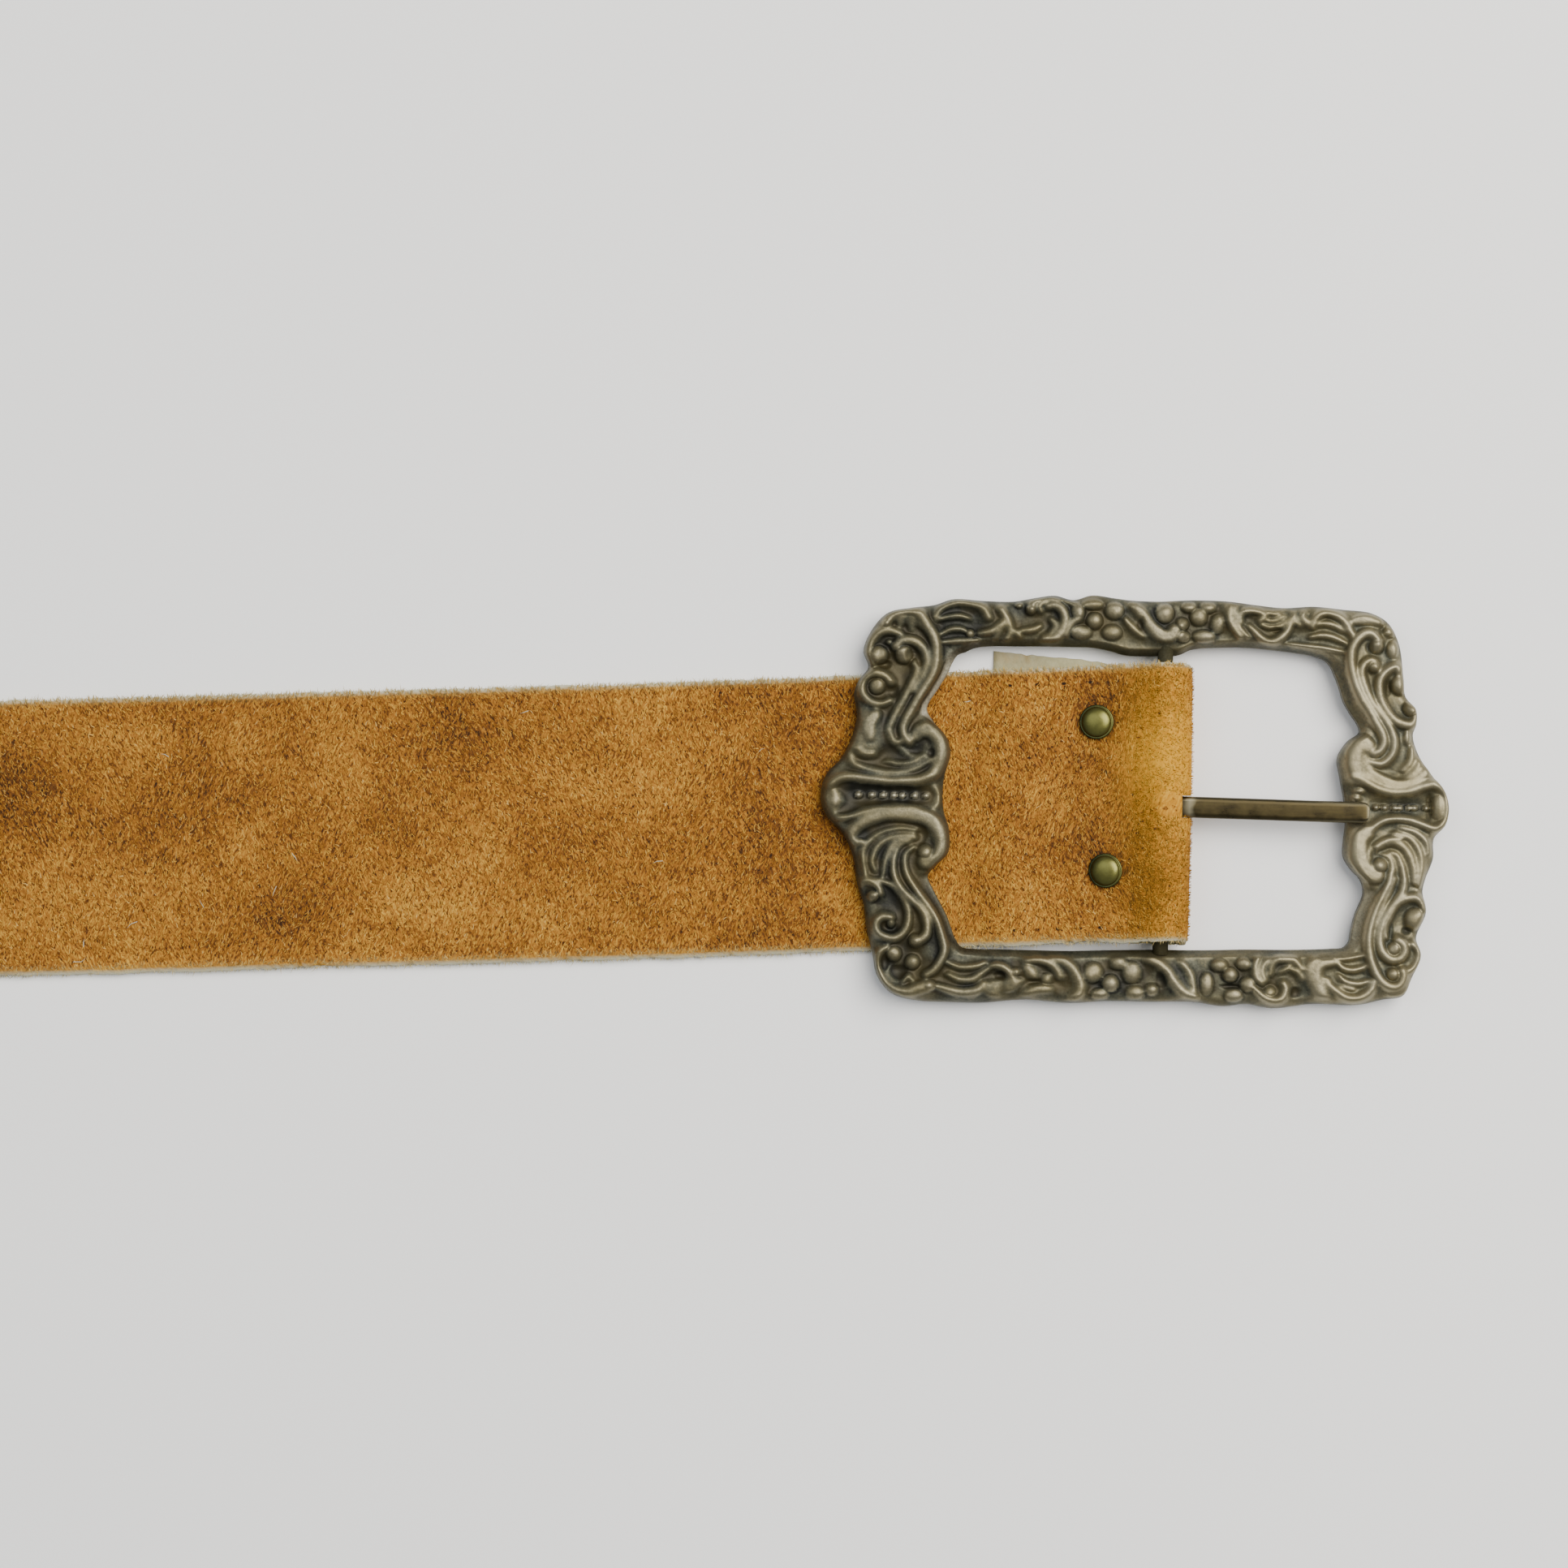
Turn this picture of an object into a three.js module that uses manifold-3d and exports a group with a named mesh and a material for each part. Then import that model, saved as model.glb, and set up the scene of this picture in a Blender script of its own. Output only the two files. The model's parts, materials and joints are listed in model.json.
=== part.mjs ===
// Suede belt with a cast brass buckle, lying flat.
//
// The strap is one length of suede. At the buckle it goes over the centre bar, folds round it and
// turns back under itself, and two rivets close the fold. The buckle is one casting: a frame of
// scrolls and leaves with a round centre bar. The prong hangs on that bar by its eye and comes out
// through a slot in the fold.
//
// Millimetres, +Z up. The buckle is worked out in its own plan: x to the right and y up from the
// middle of its frame. The whole belt is then turned, so that the far part of the strap runs along X.

import * as THREE from 'three';
import { mergeVertices } from 'three/addons/utils/BufferGeometryUtils.js';
import Module from 'manifold-3d';

const wasm = await Module();
wasm.setup();

const INCH = 25.4;
const DEG = Math.PI / 180;
const GAP = 0.3;

// Strap
const STRAP_WIDE = 1.75 * INCH;
const STRAP_THICK = 1.9;
const MIDDLE_HOLE = 30 * INCH;
const HOLE_PITCH = INCH;
const HOLE_COUNT = 5;
const HOLE_ROUND = 4.8;
const TIP_PAST_HOLES = 60;
const TIP_ROUNDING = 16;
const TAB_LENGTH = 27.5;

// Centre bar, prong eye and fold, one round the other
const BAR_X = 4.35;
const BAR_RADIUS = 1.25;
const EYE_INNER = BAR_RADIUS + GAP + 0.03;
const EYE_OUTER = EYE_INNER + 0.65;
const FOLD_INNER = EYE_OUTER + GAP + 0.03;
const FOLD_MIDDLE = FOLD_INNER + STRAP_THICK / 2;
const BAR_Z = FOLD_INNER + STRAP_THICK;

// Run of the strap: slant in the fold, slant of the far part, and the rise over the tab
const FOLD_SLANT = 3.2 * DEG;
const FAR_SLANT = 2.5 * DEG;
const SLANT_CHANGE = { from: -55, to: -105 };
const FOLD_Y = 0.25;
const LAYER_Z = STRAP_THICK * 1.5 + GAP;
const CREST_TURN = 48 * DEG;
const RAMP_LENGTH = 5.0;

// Buckle
const BACK_Z = STRAP_THICK + 0.6;
const OUTER_EDGE = 1.7;
const INNER_EDGE = 2.1;
const CROWN = 3.3;
const STEPS_ALONG = 4;
const STEPS_ACROSS = 9;

// Prong
const PRONG_WIDE = 3.3;
const PRONG_THICK = 1.7;
const PRONG_Y = -0.5;
const PRONG_SKEW = -0.9 * DEG;
const PRONG_TIP_X = 37.4;
const PRONG_ROOT_RISE = 0.8;
const PRONG_TIP_RISE = 2.9;
const PRONG_LIFT = 25 * DEG;
const SLOT_WIDE = PRONG_WIDE + 0.9;

// Rivets
const RIVETS = [
  { name: 'rivet_upper', x: -6.4, y: 12.9 },
  { name: 'rivet_lower', x: -4.5, y: -11.0 },
];
const RIVET_HEAD = { radius: 2.8, tall: 1.5, rim: 0.35 };
const RIVET_POST = 1.1;
const RIVET_CAP = { radius: 2.6, thick: 0.6, below: 2.8 };

const FINISH = {
  suede: { color: 0xb9782c, roughness: 0.95, metalness: 0 },
  casting: { color: 0x6d6248, roughness: 0.42, metalness: 0.9 },
  bronze: { color: 0x6a5a36, roughness: 0.38, metalness: 0.9 },
  rivet: { color: 0x8a8450, roughness: 0.35, metalness: 0.9 },
};

// Sections of the buckle frame, clockwise from the top left. Each row is one cut across the frame,
// from its scalloped outer edge to the edge of the window.
const TOP_RAIL = [
  // outer x, outer y, inner x, inner y
  [-33.1, 31.4, -28.0, 23.8],
  [-30.0, 32.4, -26.5, 24.5],
  [-25.0, 32.2, -23.5, 24.9],
  [-20.1, 32.2, -19.5, 24.95],
  [-16.9, 32.8, -16.5, 25.0],
  [-13.6, 33.25, -13.4, 25.0],
  [-10.6, 32.6, -10.5, 25.0],
  [-7.6, 33.4, -7.4, 24.95],
  [-3.9, 33.0, -4.3, 24.4],
  [-1.3, 32.7, -2.0, 23.8],
  [3.3, 32.6, 3.3, 23.75],
  [6.6, 32.8, 6.4, 23.9],
  [9.2, 32.9, 8.8, 24.9],
  [14.5, 32.8, 13.5, 25.3],
  [18.8, 32.3, 17.5, 25.35],
  [23.4, 31.9, 21.5, 25.05],
  [28.3, 32.2, 25.3, 24.65],
  [33.0, 31.8, 28.2, 24.2],
  [37.6, 31.3, 30.2, 23.5],
];
const RIGHT_BAR = [
  [40.4, 29.7, 31.1, 22.6],
  [42.2, 26.3, 31.8, 21.2],
  [43.0, 21.0, 32.6, 19.2],
  [43.4, 17.9, 33.4, 16.8],
  [45.1, 15.8, 34.6, 14.8],
  [45.2, 13.4, 35.7, 13.2],
  [44.7, 11.6, 36.0, 11.9],
  [45.7, 8.4, 34.2, 10.5],
  [48.0, 5.1, 32.6, 7.8],
  [49.9, 2.8, 33.0, 4.8],
  [50.7, 0.0, 33.7, 1.2],
  [50.2, -2.8, 34.1, -2.4],
  [48.4, -5.0, 33.8, -5.6],
  [48.3, -8.2, 33.8, -8.2],
  [47.1, -11.6, 35.1, -10.3],
  [46.7, -13.6, 36.6, -11.9],
  [47.3, -17.0, 37.1, -14.0],
  [45.8, -21.1, 35.8, -17.6],
  [46.6, -24.0, 35.2, -20.2],
  [45.2, -27.6, 34.9, -21.9],
  [43.8, -30.5, 34.0, -22.9],
];
const BOTTOM_RAIL = [
  [40.5, -31.2, 32.2, -23.1],
  [36.5, -32.1, 29.6, -23.25],
  [29.0, -32.1, 25.5, -23.4],
  [22.7, -32.9, 21.5, -23.45],
  [18.4, -32.3, 17.5, -23.5],
  [14.6, -32.7, 13.5, -23.65],
  [9.9, -32.1, 9.5, -23.75],
  [2.4, -32.2, 3.0, -23.8],
  [-4.0, -32.2, -4.0, -24.0],
  [-10.2, -32.6, -10.0, -24.2],
  [-17.5, -32.2, -16.5, -24.2],
  [-24.2, -32.8, -22.0, -24.15],
  [-29.8, -32.8, -25.4, -24.15],
];
const LEFT_BAR = [
  [-35.0, -32.6, -27.6, -23.9],
  [-39.0, -31.5, -28.7, -22.7],
  [-41.3, -28.8, -29.4, -21.0],
  [-42.2, -24.8, -30.2, -18.9],
  [-43.2, -20.8, -31.2, -17.0],
  [-43.7, -17.2, -32.6, -14.4],
  [-44.8, -13.8, -33.4, -12.4],
  [-45.5, -9.6, -32.2, -10.8],
  [-47.2, -5.9, -30.2, -8.6],
  [-50.0, -2.9, -30.1, -5.0],
  [-50.95, 0.0, -31.1, -1.5],
  [-50.1, 3.7, -31.1, 3.2],
  [-47.7, 6.4, -30.1, 7.4],
  [-46.1, 9.7, -30.8, 10.1],
  [-45.3, 13.2, -32.9, 12.5],
  [-45.8, 17.0, -34.0, 14.6],
  [-45.0, 19.2, -32.2, 17.9],
  [-43.6, 21.1, -30.8, 20.3],
  [-44.4, 23.8, -30.1, 21.9],
  [-43.2, 27.1, -29.4, 23.1],
  [-40.6, 30.0, -28.9, 23.5],
  [-36.8, 30.9, -28.4, 23.7],
];
const SECTIONS = [...TOP_RAIL, ...RIGHT_BAR, ...BOTTOM_RAIL, ...LEFT_BAR];

// Raised bands of the cast ornament: half the band's width, its rise, and the places it runs through
const SCROLLS = [
  // left bar, upper half
  { half: 1.5, rise: 1.1, through: [[-40.5, 29], [-35.5, 29.6], [-33, 24.5], [-34.4, 18], [-37.8, 11.5]] },
  { half: 1.3, rise: 1.0, through: [[-39.4, 25.2], [-36, 24.8], [-34.8, 20.5], [-38, 15.5], [-39.8, 10]] },
  { half: 1.3, rise: 1.0, through: [[-39.8, 26.9], [-43.2, 25.4], [-42.8, 22.6]] },
  { half: 1.3, rise: 1.0, through: [[-40, 15.8], [-44.3, 16.6], [-43.6, 19.9], [-40.2, 19]] },
  // left bar, middle
  { half: 2.1, rise: 1.3, through: [[-35.6, 10.3], [-32.6, 10.2], [-32.2, 6], [-36, 3.6], [-46.5, 3.5]] },
  { half: 1.2, rise: 0.8, through: [[-46.3, 8], [-43.5, 5.2], [-38, 4.8]] },
  { half: 2.1, rise: 1.3, through: [[-33.5, -9], [-31.8, -6], [-36, -2.8], [-42.5, -3], [-45.8, -6.6]] },
  { half: 1.5, rise: 0.9, through: [[-38, -5.8], [-41.3, -8.8], [-41.8, -12]] },
  // left bar, lower half
  { half: 1.5, rise: 1.1, through: [[-36.9, -8], [-36.6, -12], [-33, -17.5], [-30.6, -22.5], [-33.5, -28.3]] },
  { half: 1.3, rise: 1.0, through: [[-39, -9], [-37.7, -14], [-34.4, -18.5], [-34, -23]] },
  { half: 1.3, rise: 1.0, through: [[-42.5, -13.2], [-38, -15.2], [-36.6, -19.8], [-40.5, -22], [-40.5, -19.2]] },
  { half: 1.4, rise: 1.0, through: [[-39.8, -24.2], [-41.3, -27], [-38.5, -30.8], [-33.5, -30.4]] },
  // top rail
  { half: 1.4, rise: 1.0, through: [[-33, 29.2], [-29, 31.7], [-24.6, 29.6]] },
  { half: 1.3, rise: 0.8, through: [[-31.8, 26.6], [-27.6, 27.4], [-22.2, 28]] },
  { half: 1.3, rise: 1.0, through: [[-17.4, 31.8], [-13.4, 31.3], [-12.3, 28], [-15.4, 26.2]] },
  { half: 1.3, rise: 0.9, through: [[-1, 31.6], [2.2, 28.2], [5.4, 27.2]] },
  { half: 1.2, rise: 0.9, through: [[14.6, 31.9], [14.9, 29], [17.2, 27]] },
  { half: 1.2, rise: 0.9, through: [[16.4, 29.6], [18, 31.2], [20, 29.8]] },
  { half: 1.4, rise: 0.9, through: [[20, 27], [23.4, 28.6], [24.4, 31]] },
  { half: 1.4, rise: 1.0, through: [[27.8, 29], [31, 30.8], [34, 28]] },
  // right bar, upper half
  { half: 1.5, rise: 1.1, through: [[37.2, 27.6], [34.2, 25], [35.4, 18.8], [39.2, 12], [38.4, 8.8]] },
  { half: 1.3, rise: 1.0, through: [[37.4, 23.2], [36.2, 20.2], [40.2, 13.4], [41, 8.6], [37.8, 7.2]] },
  { half: 1.3, rise: 1.0, through: [[41.5, 22.4], [38.8, 19.4], [41.4, 14.2], [45, 14.6]] },
  // right bar, middle
  { half: 2.0, rise: 1.3, through: [[36, 10], [34, 7.6], [37.4, 4], [42, 2.9], [48.8, 3.4]] },
  { half: 1.2, rise: 0.8, through: [[37.2, 6.4], [41.5, 4.4], [46, 7]] },
  { half: 2.0, rise: 1.3, through: [[38.6, -10.2], [35, -8.4], [36.5, -4.2], [42, -2.6], [48.8, -3.4]] },
  { half: 1.4, rise: 0.9, through: [[39.4, -6.6], [43.6, -7.4], [44.4, -12]] },
  // right bar, lower half
  { half: 1.5, rise: 1.1, through: [[41, -11], [38.4, -18], [38.2, -25], [42, -28.8]] },
  { half: 1.3, rise: 1.0, through: [[43, -10], [41.4, -16], [39.6, -21], [42.6, -24.3]] },
  { half: 1.3, rise: 1.0, through: [[40.8, -19.5], [43, -15], [46.6, -15.8]] },
  // bottom rail
  { half: 1.4, rise: 1.0, through: [[-32, -29.8], [-28, -30.8], [-24.4, -29.6]] },
  { half: 1.3, rise: 0.8, through: [[-30, -27], [-25.5, -27.4], [-20.4, -27.4]] },
  { half: 1.3, rise: 1.0, through: [[-17, -26], [-13, -26.8], [-12, -29.4]] },
  { half: 1.5, rise: 1.0, through: [[3, -25.6], [6.4, -28.4], [9.6, -31.2]] },
  { half: 1.3, rise: 1.0, through: [[20, -25.4], [20.2, -28.6], [23.4, -31.2]] },
  { half: 1.4, rise: 1.0, through: [[31, -25.2], [29.4, -28], [34.4, -30.6], [38.4, -28.6]] },
];

// Round bosses: the eyes of the scrolls and the hearts of the flowers
const BOSSES = [
  { x: -42.4, y: 23.6, radius: 1.6, rise: 1.3 },
  { x: -38.7, y: 23.1, radius: 1.7, rise: 1.3 },
  { x: -42.2, y: 17.8, radius: 1.6, rise: 1.2 },
  { x: -48.8, y: 0, radius: 2.0, rise: 1.0 },
  { x: -42.3, y: -15.8, radius: 1.4, rise: 1.1 },
  { x: -38.7, y: -25.2, radius: 1.6, rise: 1.2 },
  { x: -27.4, y: 26.9, radius: 1.2, rise: 0.9 },
  { x: -7.2, y: 29.2, radius: 2.4, rise: 1.2 },
  { x: 4.0, y: 30.6, radius: 1.7, rise: 1.2 },
  { x: 9.6, y: 30.0, radius: 2.1, rise: 1.1 },
  { x: 38.1, y: 25.6, radius: 1.5, rise: 1.2 },
  { x: 42.2, y: 19.6, radius: 1.8, rise: 1.3 },
  { x: 48.8, y: -0.1, radius: 1.9, rise: 0.9 },
  { x: 39.3, y: -9.2, radius: 1.6, rise: 1.2 },
  { x: 45.4, y: -18.0, radius: 1.8, rise: 1.3 },
  { x: 41.8, y: -26.7, radius: 1.5, rise: 1.2 },
  { x: 15.6, y: -27.6, radius: 1.9, rise: 1.2 },
  { x: -3.8, y: -29.0, radius: 1.8, rise: 1.2 },
  { x: -8.9, y: -29.4, radius: 1.6, rise: 1.0 },
];

// Geometry helpers

function plainCopy(geometry) {
  const copy = geometry.clone();
  copy.deleteAttribute('normal');
  copy.deleteAttribute('uv');
  return mergeVertices(copy, 1e-4);
}

function toSolid(geometry) {
  const merged = plainCopy(geometry);
  const positions = new Float32Array(merged.attributes.position.array);
  const triangles = new Uint32Array(merged.index.array);
  return new wasm.Manifold(new wasm.Mesh({ numProp: 3, vertProperties: positions, triVerts: triangles }));
}

function fromSolid(solid) {
  const { vertProperties, triVerts } = solid.getMesh();
  const geometry = new THREE.BufferGeometry();
  geometry.setAttribute('position', new THREE.BufferAttribute(new Float32Array(vertProperties), 3));
  geometry.setIndex(new THREE.BufferAttribute(new Uint32Array(triVerts), 1));
  return geometry;
}

function placeVertices(geometry, place) {
  const position = geometry.attributes.position;
  for (let i = 0; i < position.count; i += 1) {
    const spot = place(position.getX(i), position.getY(i), position.getZ(i), i);
    position.setXYZ(i, spot.x, spot.y, spot.z);
  }
  return plainCopy(geometry);
}

function finished(name, geometry, finish) {
  geometry.computeVertexNormals();
  const mesh = new THREE.Mesh(geometry, new THREE.MeshStandardMaterial({ ...finish, flatShading: true }));
  mesh.name = name;
  return mesh;
}

// The strap's side view, as runs of even curvature from the end of the tab to the tip. The heading
// is the angle from straight right; the tab runs right along the floor to the fold.
const layerDrop = BAR_Z + FOLD_MIDDLE - LAYER_Z;
const crestSum = layerDrop / (1 - Math.cos(CREST_TURN));
const humpLength = crestSum * Math.sin(CREST_TURN);
const rampDrop = LAYER_Z - STRAP_THICK / 2;
const rampTurn = 2 * Math.atan(rampDrop / RAMP_LENGTH);
const rampRun = (rampTurn * RAMP_LENGTH) / (2 * Math.sin(rampTurn));
const tipFromFold = MIDDLE_HOLE + ((HOLE_COUNT - 1) / 2) * HOLE_PITCH + TIP_PAST_HOLES;
const rampStart = TAB_LENGTH + 0.5;
const farLength = tipFromFold - (FOLD_INNER + STRAP_THICK) - rampStart - RAMP_LENGTH;

const SIDE_VIEW = [
  { run: TAB_LENGTH, turn: 0, steps: 2 },
  { run: FOLD_MIDDLE * Math.PI, turn: Math.PI, steps: 16 },
  { run: FOLD_MIDDLE * CREST_TURN, turn: CREST_TURN, steps: 5 },
  { run: (crestSum - FOLD_MIDDLE) * CREST_TURN, turn: -CREST_TURN, steps: 5 },
  { run: rampStart - humpLength, turn: 0, steps: 1 },
  { run: rampRun, turn: rampTurn, steps: 3 },
  { run: rampRun, turn: -rampTurn, steps: 3 },
  { run: farLength - TIP_ROUNDING, turn: 0, steps: 12 },
  { run: TIP_ROUNDING, turn: 0, steps: 8 },
];
const CREST_AT = SIDE_VIEW[0].run + SIDE_VIEW[1].run;
const STRAP_END = SIDE_VIEW.reduce((sum, part) => sum + part.run, 0);

function alongSideView(distance) {
  let x = BAR_X - TAB_LENGTH;
  let z = STRAP_THICK / 2;
  let heading = 0;
  let left = distance;
  for (const { run, turn } of SIDE_VIEW) {
    const part = Math.min(left, run);
    const bend = (turn * part) / run;
    const reach = turn === 0 ? part : (part * Math.sin(bend / 2)) / (bend / 2 || 1);
    x += reach * Math.cos(heading + bend / 2);
    z += reach * Math.sin(heading + bend / 2);
    heading += bend;
    left -= part;
    if (left <= 0) break;
  }
  return { x, z, heading };
}

function stepsAlongStrap() {
  const stops = [0];
  let start = 0;
  SIDE_VIEW.forEach(({ run, steps }, row) => {
    const isTip = row === SIDE_VIEW.length - 1;
    for (let i = 1; i <= steps; i += 1) {
      stops.push(start + run * (isTip ? Math.sin((i / steps) * (Math.PI / 2)) : i / steps));
    }
    start += run;
  });
  return stops;
}

// Middle of the strap across its width, and how far the far part is squared up to its own run
function strapMiddle(distance, x) {
  const slanted = FOLD_Y - Math.tan(FOLD_SLANT) * (distance - CREST_AT);
  const { from, to } = SLANT_CHANGE;
  const change = Math.tan(FOLD_SLANT) - Math.tan(FAR_SLANT);
  if (x > from) return slanted;
  const bent = Math.min(from - x, from - to);
  const beyond = Math.max(to - x, 0);
  return slanted + change * (bent * bent / (2 * (from - to)) + beyond);
}

function strapPoint(distance, across, height) {
  const { x, z, heading } = alongSideView(distance);
  const squared = THREE.MathUtils.smoothstep(-x, -SLANT_CHANGE.from, -SLANT_CHANGE.to);
  return new THREE.Vector3(
    x + Math.sin(heading) * height + squared * Math.tan(FAR_SLANT) * across,
    strapMiddle(distance, x) + across / Math.cos(FOLD_SLANT),
    z - Math.cos(heading) * height,
  );
}

function halfWidth(distance) {
  const intoTip = Math.max(distance - (STRAP_END - TIP_ROUNDING), 0) / TIP_ROUNDING;
  return (STRAP_WIDE / 2) * Math.max(Math.sqrt(Math.max(1 - intoTip ** 2.4, 0)), 0.12);
}

// The mesh's upper side is the grain side: it faces down on the tab and up on the main run
function makeStrap() {
  const stops = stepsAlongStrap();
  const bands = new THREE.BoxGeometry(stops.length - 1, 2, 2, stops.length - 1, 2, 1);
  const strap = toSolid(placeVertices(bands, (x, y, z) => {
    const distance = stops[Math.round(x + (stops.length - 1) / 2)];
    return strapPoint(distance, -y * halfWidth(distance), z * (STRAP_THICK / 2));
  }));
  let cut = strap.subtract(makeSlotCutter());
  for (let i = 0; i < HOLE_COUNT; i += 1) {
    const fromFold = MIDDLE_HOLE + (i - (HOLE_COUNT - 1) / 2) * HOLE_PITCH;
    const hole = new THREE.CylinderGeometry(HOLE_ROUND / 2, HOLE_ROUND / 2, STRAP_THICK * 3, 16);
    const middle = strapPoint(STRAP_END - (tipFromFold - fromFold), 0, 0);
    hole.rotateX(Math.PI / 2).translate(middle.x, middle.y, middle.z);
    cut = cut.subtract(toSolid(hole));
  }
  for (const rivet of RIVETS) {
    cut = cut.subtract(toSolid(placeOnStrap(makeRivetRoom(), rivet)));
  }
  return finished('strap', fromSolid(cut), FINISH.suede);
}

// Room for the prong: from its lifted place, down past the floor when the buckle stands up
function makeSlotCutter() {
  const lifted = PRONG_LIFT + 2.5 * DEG;
  const above = PRONG_ROOT_RISE + PRONG_THICK / 2 + GAP;
  const far = 12;
  const leftward = -0.5;
  const shape = new THREE.Shape();
  shape.moveTo(leftward, 0);
  shape.lineTo(-above * Math.sin(lifted), above * Math.cos(lifted));
  shape.lineTo(far * Math.cos(lifted) - above * Math.sin(lifted), far * Math.sin(lifted) + above);
  shape.lineTo(far, -far);
  shape.lineTo(leftward, -far);
  const cutter = new THREE.ExtrudeGeometry(shape, { depth: SLOT_WIDE, bevelEnabled: false });
  cutter.rotateX(Math.PI / 2).translate(BAR_X, PRONG_Y + SLOT_WIDE / 2, BAR_Z);
  return toSolid(cutter);
}

// Frame of the buckle

function roundRing(rows, columns) {
  const points = rows.map((row) => new THREE.Vector3(row[columns[0]], row[columns[1]], 0));
  return new THREE.CatmullRomCurve3(points, true, 'centripetal');
}

function bandsOf(scrolls) {
  return scrolls.map(({ half, rise, through }) => {
    const curve = new THREE.CatmullRomCurve3(through.map(([x, y]) => new THREE.Vector3(x, y, 0)));
    return { half, rise, points: curve.getPoints(through.length * 5) };
  });
}

function distanceToBand(x, y, points) {
  let nearest = Infinity;
  for (let i = 1; i < points.length; i += 1) {
    const a = points[i - 1];
    const b = points[i];
    const [dx, dy] = [b.x - a.x, b.y - a.y];
    const along = THREE.MathUtils.clamp(((x - a.x) * dx + (y - a.y) * dy) / (dx * dx + dy * dy), 0, 1);
    nearest = Math.min(nearest, Math.hypot(x - a.x - along * dx, y - a.y - along * dy));
  }
  return nearest;
}

function reliefAt(x, y, bands) {
  let rise = 0;
  for (const { half, rise: top, points } of bands) {
    const off = distanceToBand(x, y, points) / half;
    if (off < 1) rise = Math.max(rise, top * Math.sqrt(1 - off * off));
  }
  for (const { x: cx, y: cy, radius, rise: top } of BOSSES) {
    const off = Math.hypot(x - cx, y - cy) / radius;
    if (off < 1) rise = Math.max(rise, top * Math.sqrt(1 - off * off));
  }
  return rise;
}

// A torus gives the closed ring: its long way round follows the sections, its short way round goes
// over the decorated face from the outer edge to the window, down the inner wall and along the back.
function makeBuckleFrame() {
  const outer = roundRing(SECTIONS, [0, 1]);
  const inner = roundRing(SECTIONS, [2, 3]);
  const bands = bandsOf(SCROLLS);
  const along = SECTIONS.length * STEPS_ALONG;
  const around = STEPS_ACROSS + 3;
  const ring = new THREE.TorusGeometry(2, 1, around, along);
  const shaped = placeVertices(ring, (x, y, z, i) => {
    const section = (i % (along + 1)) % along;
    const place = Math.floor(i / (along + 1)) % around;
    const far = outer.getPoint(section / along);
    const near = inner.getPoint(section / along);
    const across = place <= STEPS_ACROSS ? place / STEPS_ACROSS : STEPS_ACROSS + 2 - place;
    const spot = far.clone().lerp(near, THREE.MathUtils.clamp(across, 0, 1));
    spot.z = BACK_Z;
    if (place <= STEPS_ACROSS) {
      const edge = THREE.MathUtils.lerp(OUTER_EDGE, INNER_EDGE, across);
      const crown = Math.sin(Math.PI * across) ** 0.6;
      const relief = across === 0 || across === 1 ? 0 : reliefAt(spot.x, spot.y, bands);
      spot.z += edge + (CROWN - edge) * crown + relief;
    }
    return spot;
  });
  const bar = new THREE.CylinderGeometry(BAR_RADIUS, BAR_RADIUS, 50, 16);
  bar.translate(BAR_X, 0.5, BAR_Z);
  const whole = facingOut(toSolid, shaped).add(toSolid(bar));
  return finished('buckle_frame', fromSolid(whole), FINISH.casting);
}

// Turns a mesh the right way out when its faces point inwards
function facingOut(makeSolid, geometry) {
  const solid = makeSolid(geometry);
  if (solid.volume() > 0) return solid;
  const index = geometry.index.array;
  for (let i = 0; i < index.length; i += 3) {
    [index[i], index[i + 1]] = [index[i + 1], index[i]];
  }
  return makeSolid(geometry);
}

// Prong: its side view is an eye round the bar and a straight shank, as thick as the prong is wide
function makeProng() {
  const tip = PRONG_TIP_X - BAR_X;
  const half = PRONG_THICK / 2;
  const startAngle = Math.asin((PRONG_ROOT_RISE + half) / EYE_OUTER);
  const endAngle = Math.asin((PRONG_ROOT_RISE - half) / EYE_OUTER) + 2 * Math.PI;
  const shape = new THREE.Shape();
  shape.absarc(0, 0, EYE_OUTER, startAngle, endAngle, false);
  shape.lineTo(tip - 1.2, PRONG_TIP_RISE - half);
  shape.quadraticCurveTo(tip, PRONG_TIP_RISE - half, tip, PRONG_TIP_RISE);
  shape.quadraticCurveTo(tip, PRONG_TIP_RISE + half, tip - 1.2, PRONG_TIP_RISE + half);
  shape.closePath();
  const eye = new THREE.Path();
  eye.absarc(0, 0, EYE_INNER, 0, 2 * Math.PI, true);
  shape.holes.push(eye);
  const body = new THREE.ExtrudeGeometry(shape, { depth: PRONG_WIDE, bevelEnabled: false, curveSegments: 16 });
  body.rotateX(Math.PI / 2).translate(0, PRONG_WIDE / 2, 0);
  const plan = new THREE.Shape();
  plan.moveTo(-2 * EYE_OUTER, -PRONG_WIDE);
  plan.lineTo(tip - PRONG_WIDE / 2, -PRONG_WIDE);
  plan.lineTo(tip - PRONG_WIDE / 2, -PRONG_WIDE / 2);
  plan.absarc(tip - PRONG_WIDE / 2, 0, PRONG_WIDE / 2, -Math.PI / 2, Math.PI / 2, false);
  plan.lineTo(tip - PRONG_WIDE / 2, PRONG_WIDE);
  plan.lineTo(-2 * EYE_OUTER, PRONG_WIDE);
  const rounding = new THREE.ExtrudeGeometry(plan, { depth: 12, bevelEnabled: false, curveSegments: 6 });
  rounding.translate(0, 0, -6);
  const prong = toSolid(body).intersect(toSolid(rounding));
  const mesh = finished('prong', fromSolid(prong), FINISH.bronze);
  mesh.position.set(BAR_X, PRONG_Y, BAR_Z);
  mesh.rotation.z = PRONG_SKEW;
  return mesh;
}

// Rivets: a domed head on the strap, a post through both layers, and a cap let into the back

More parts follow.
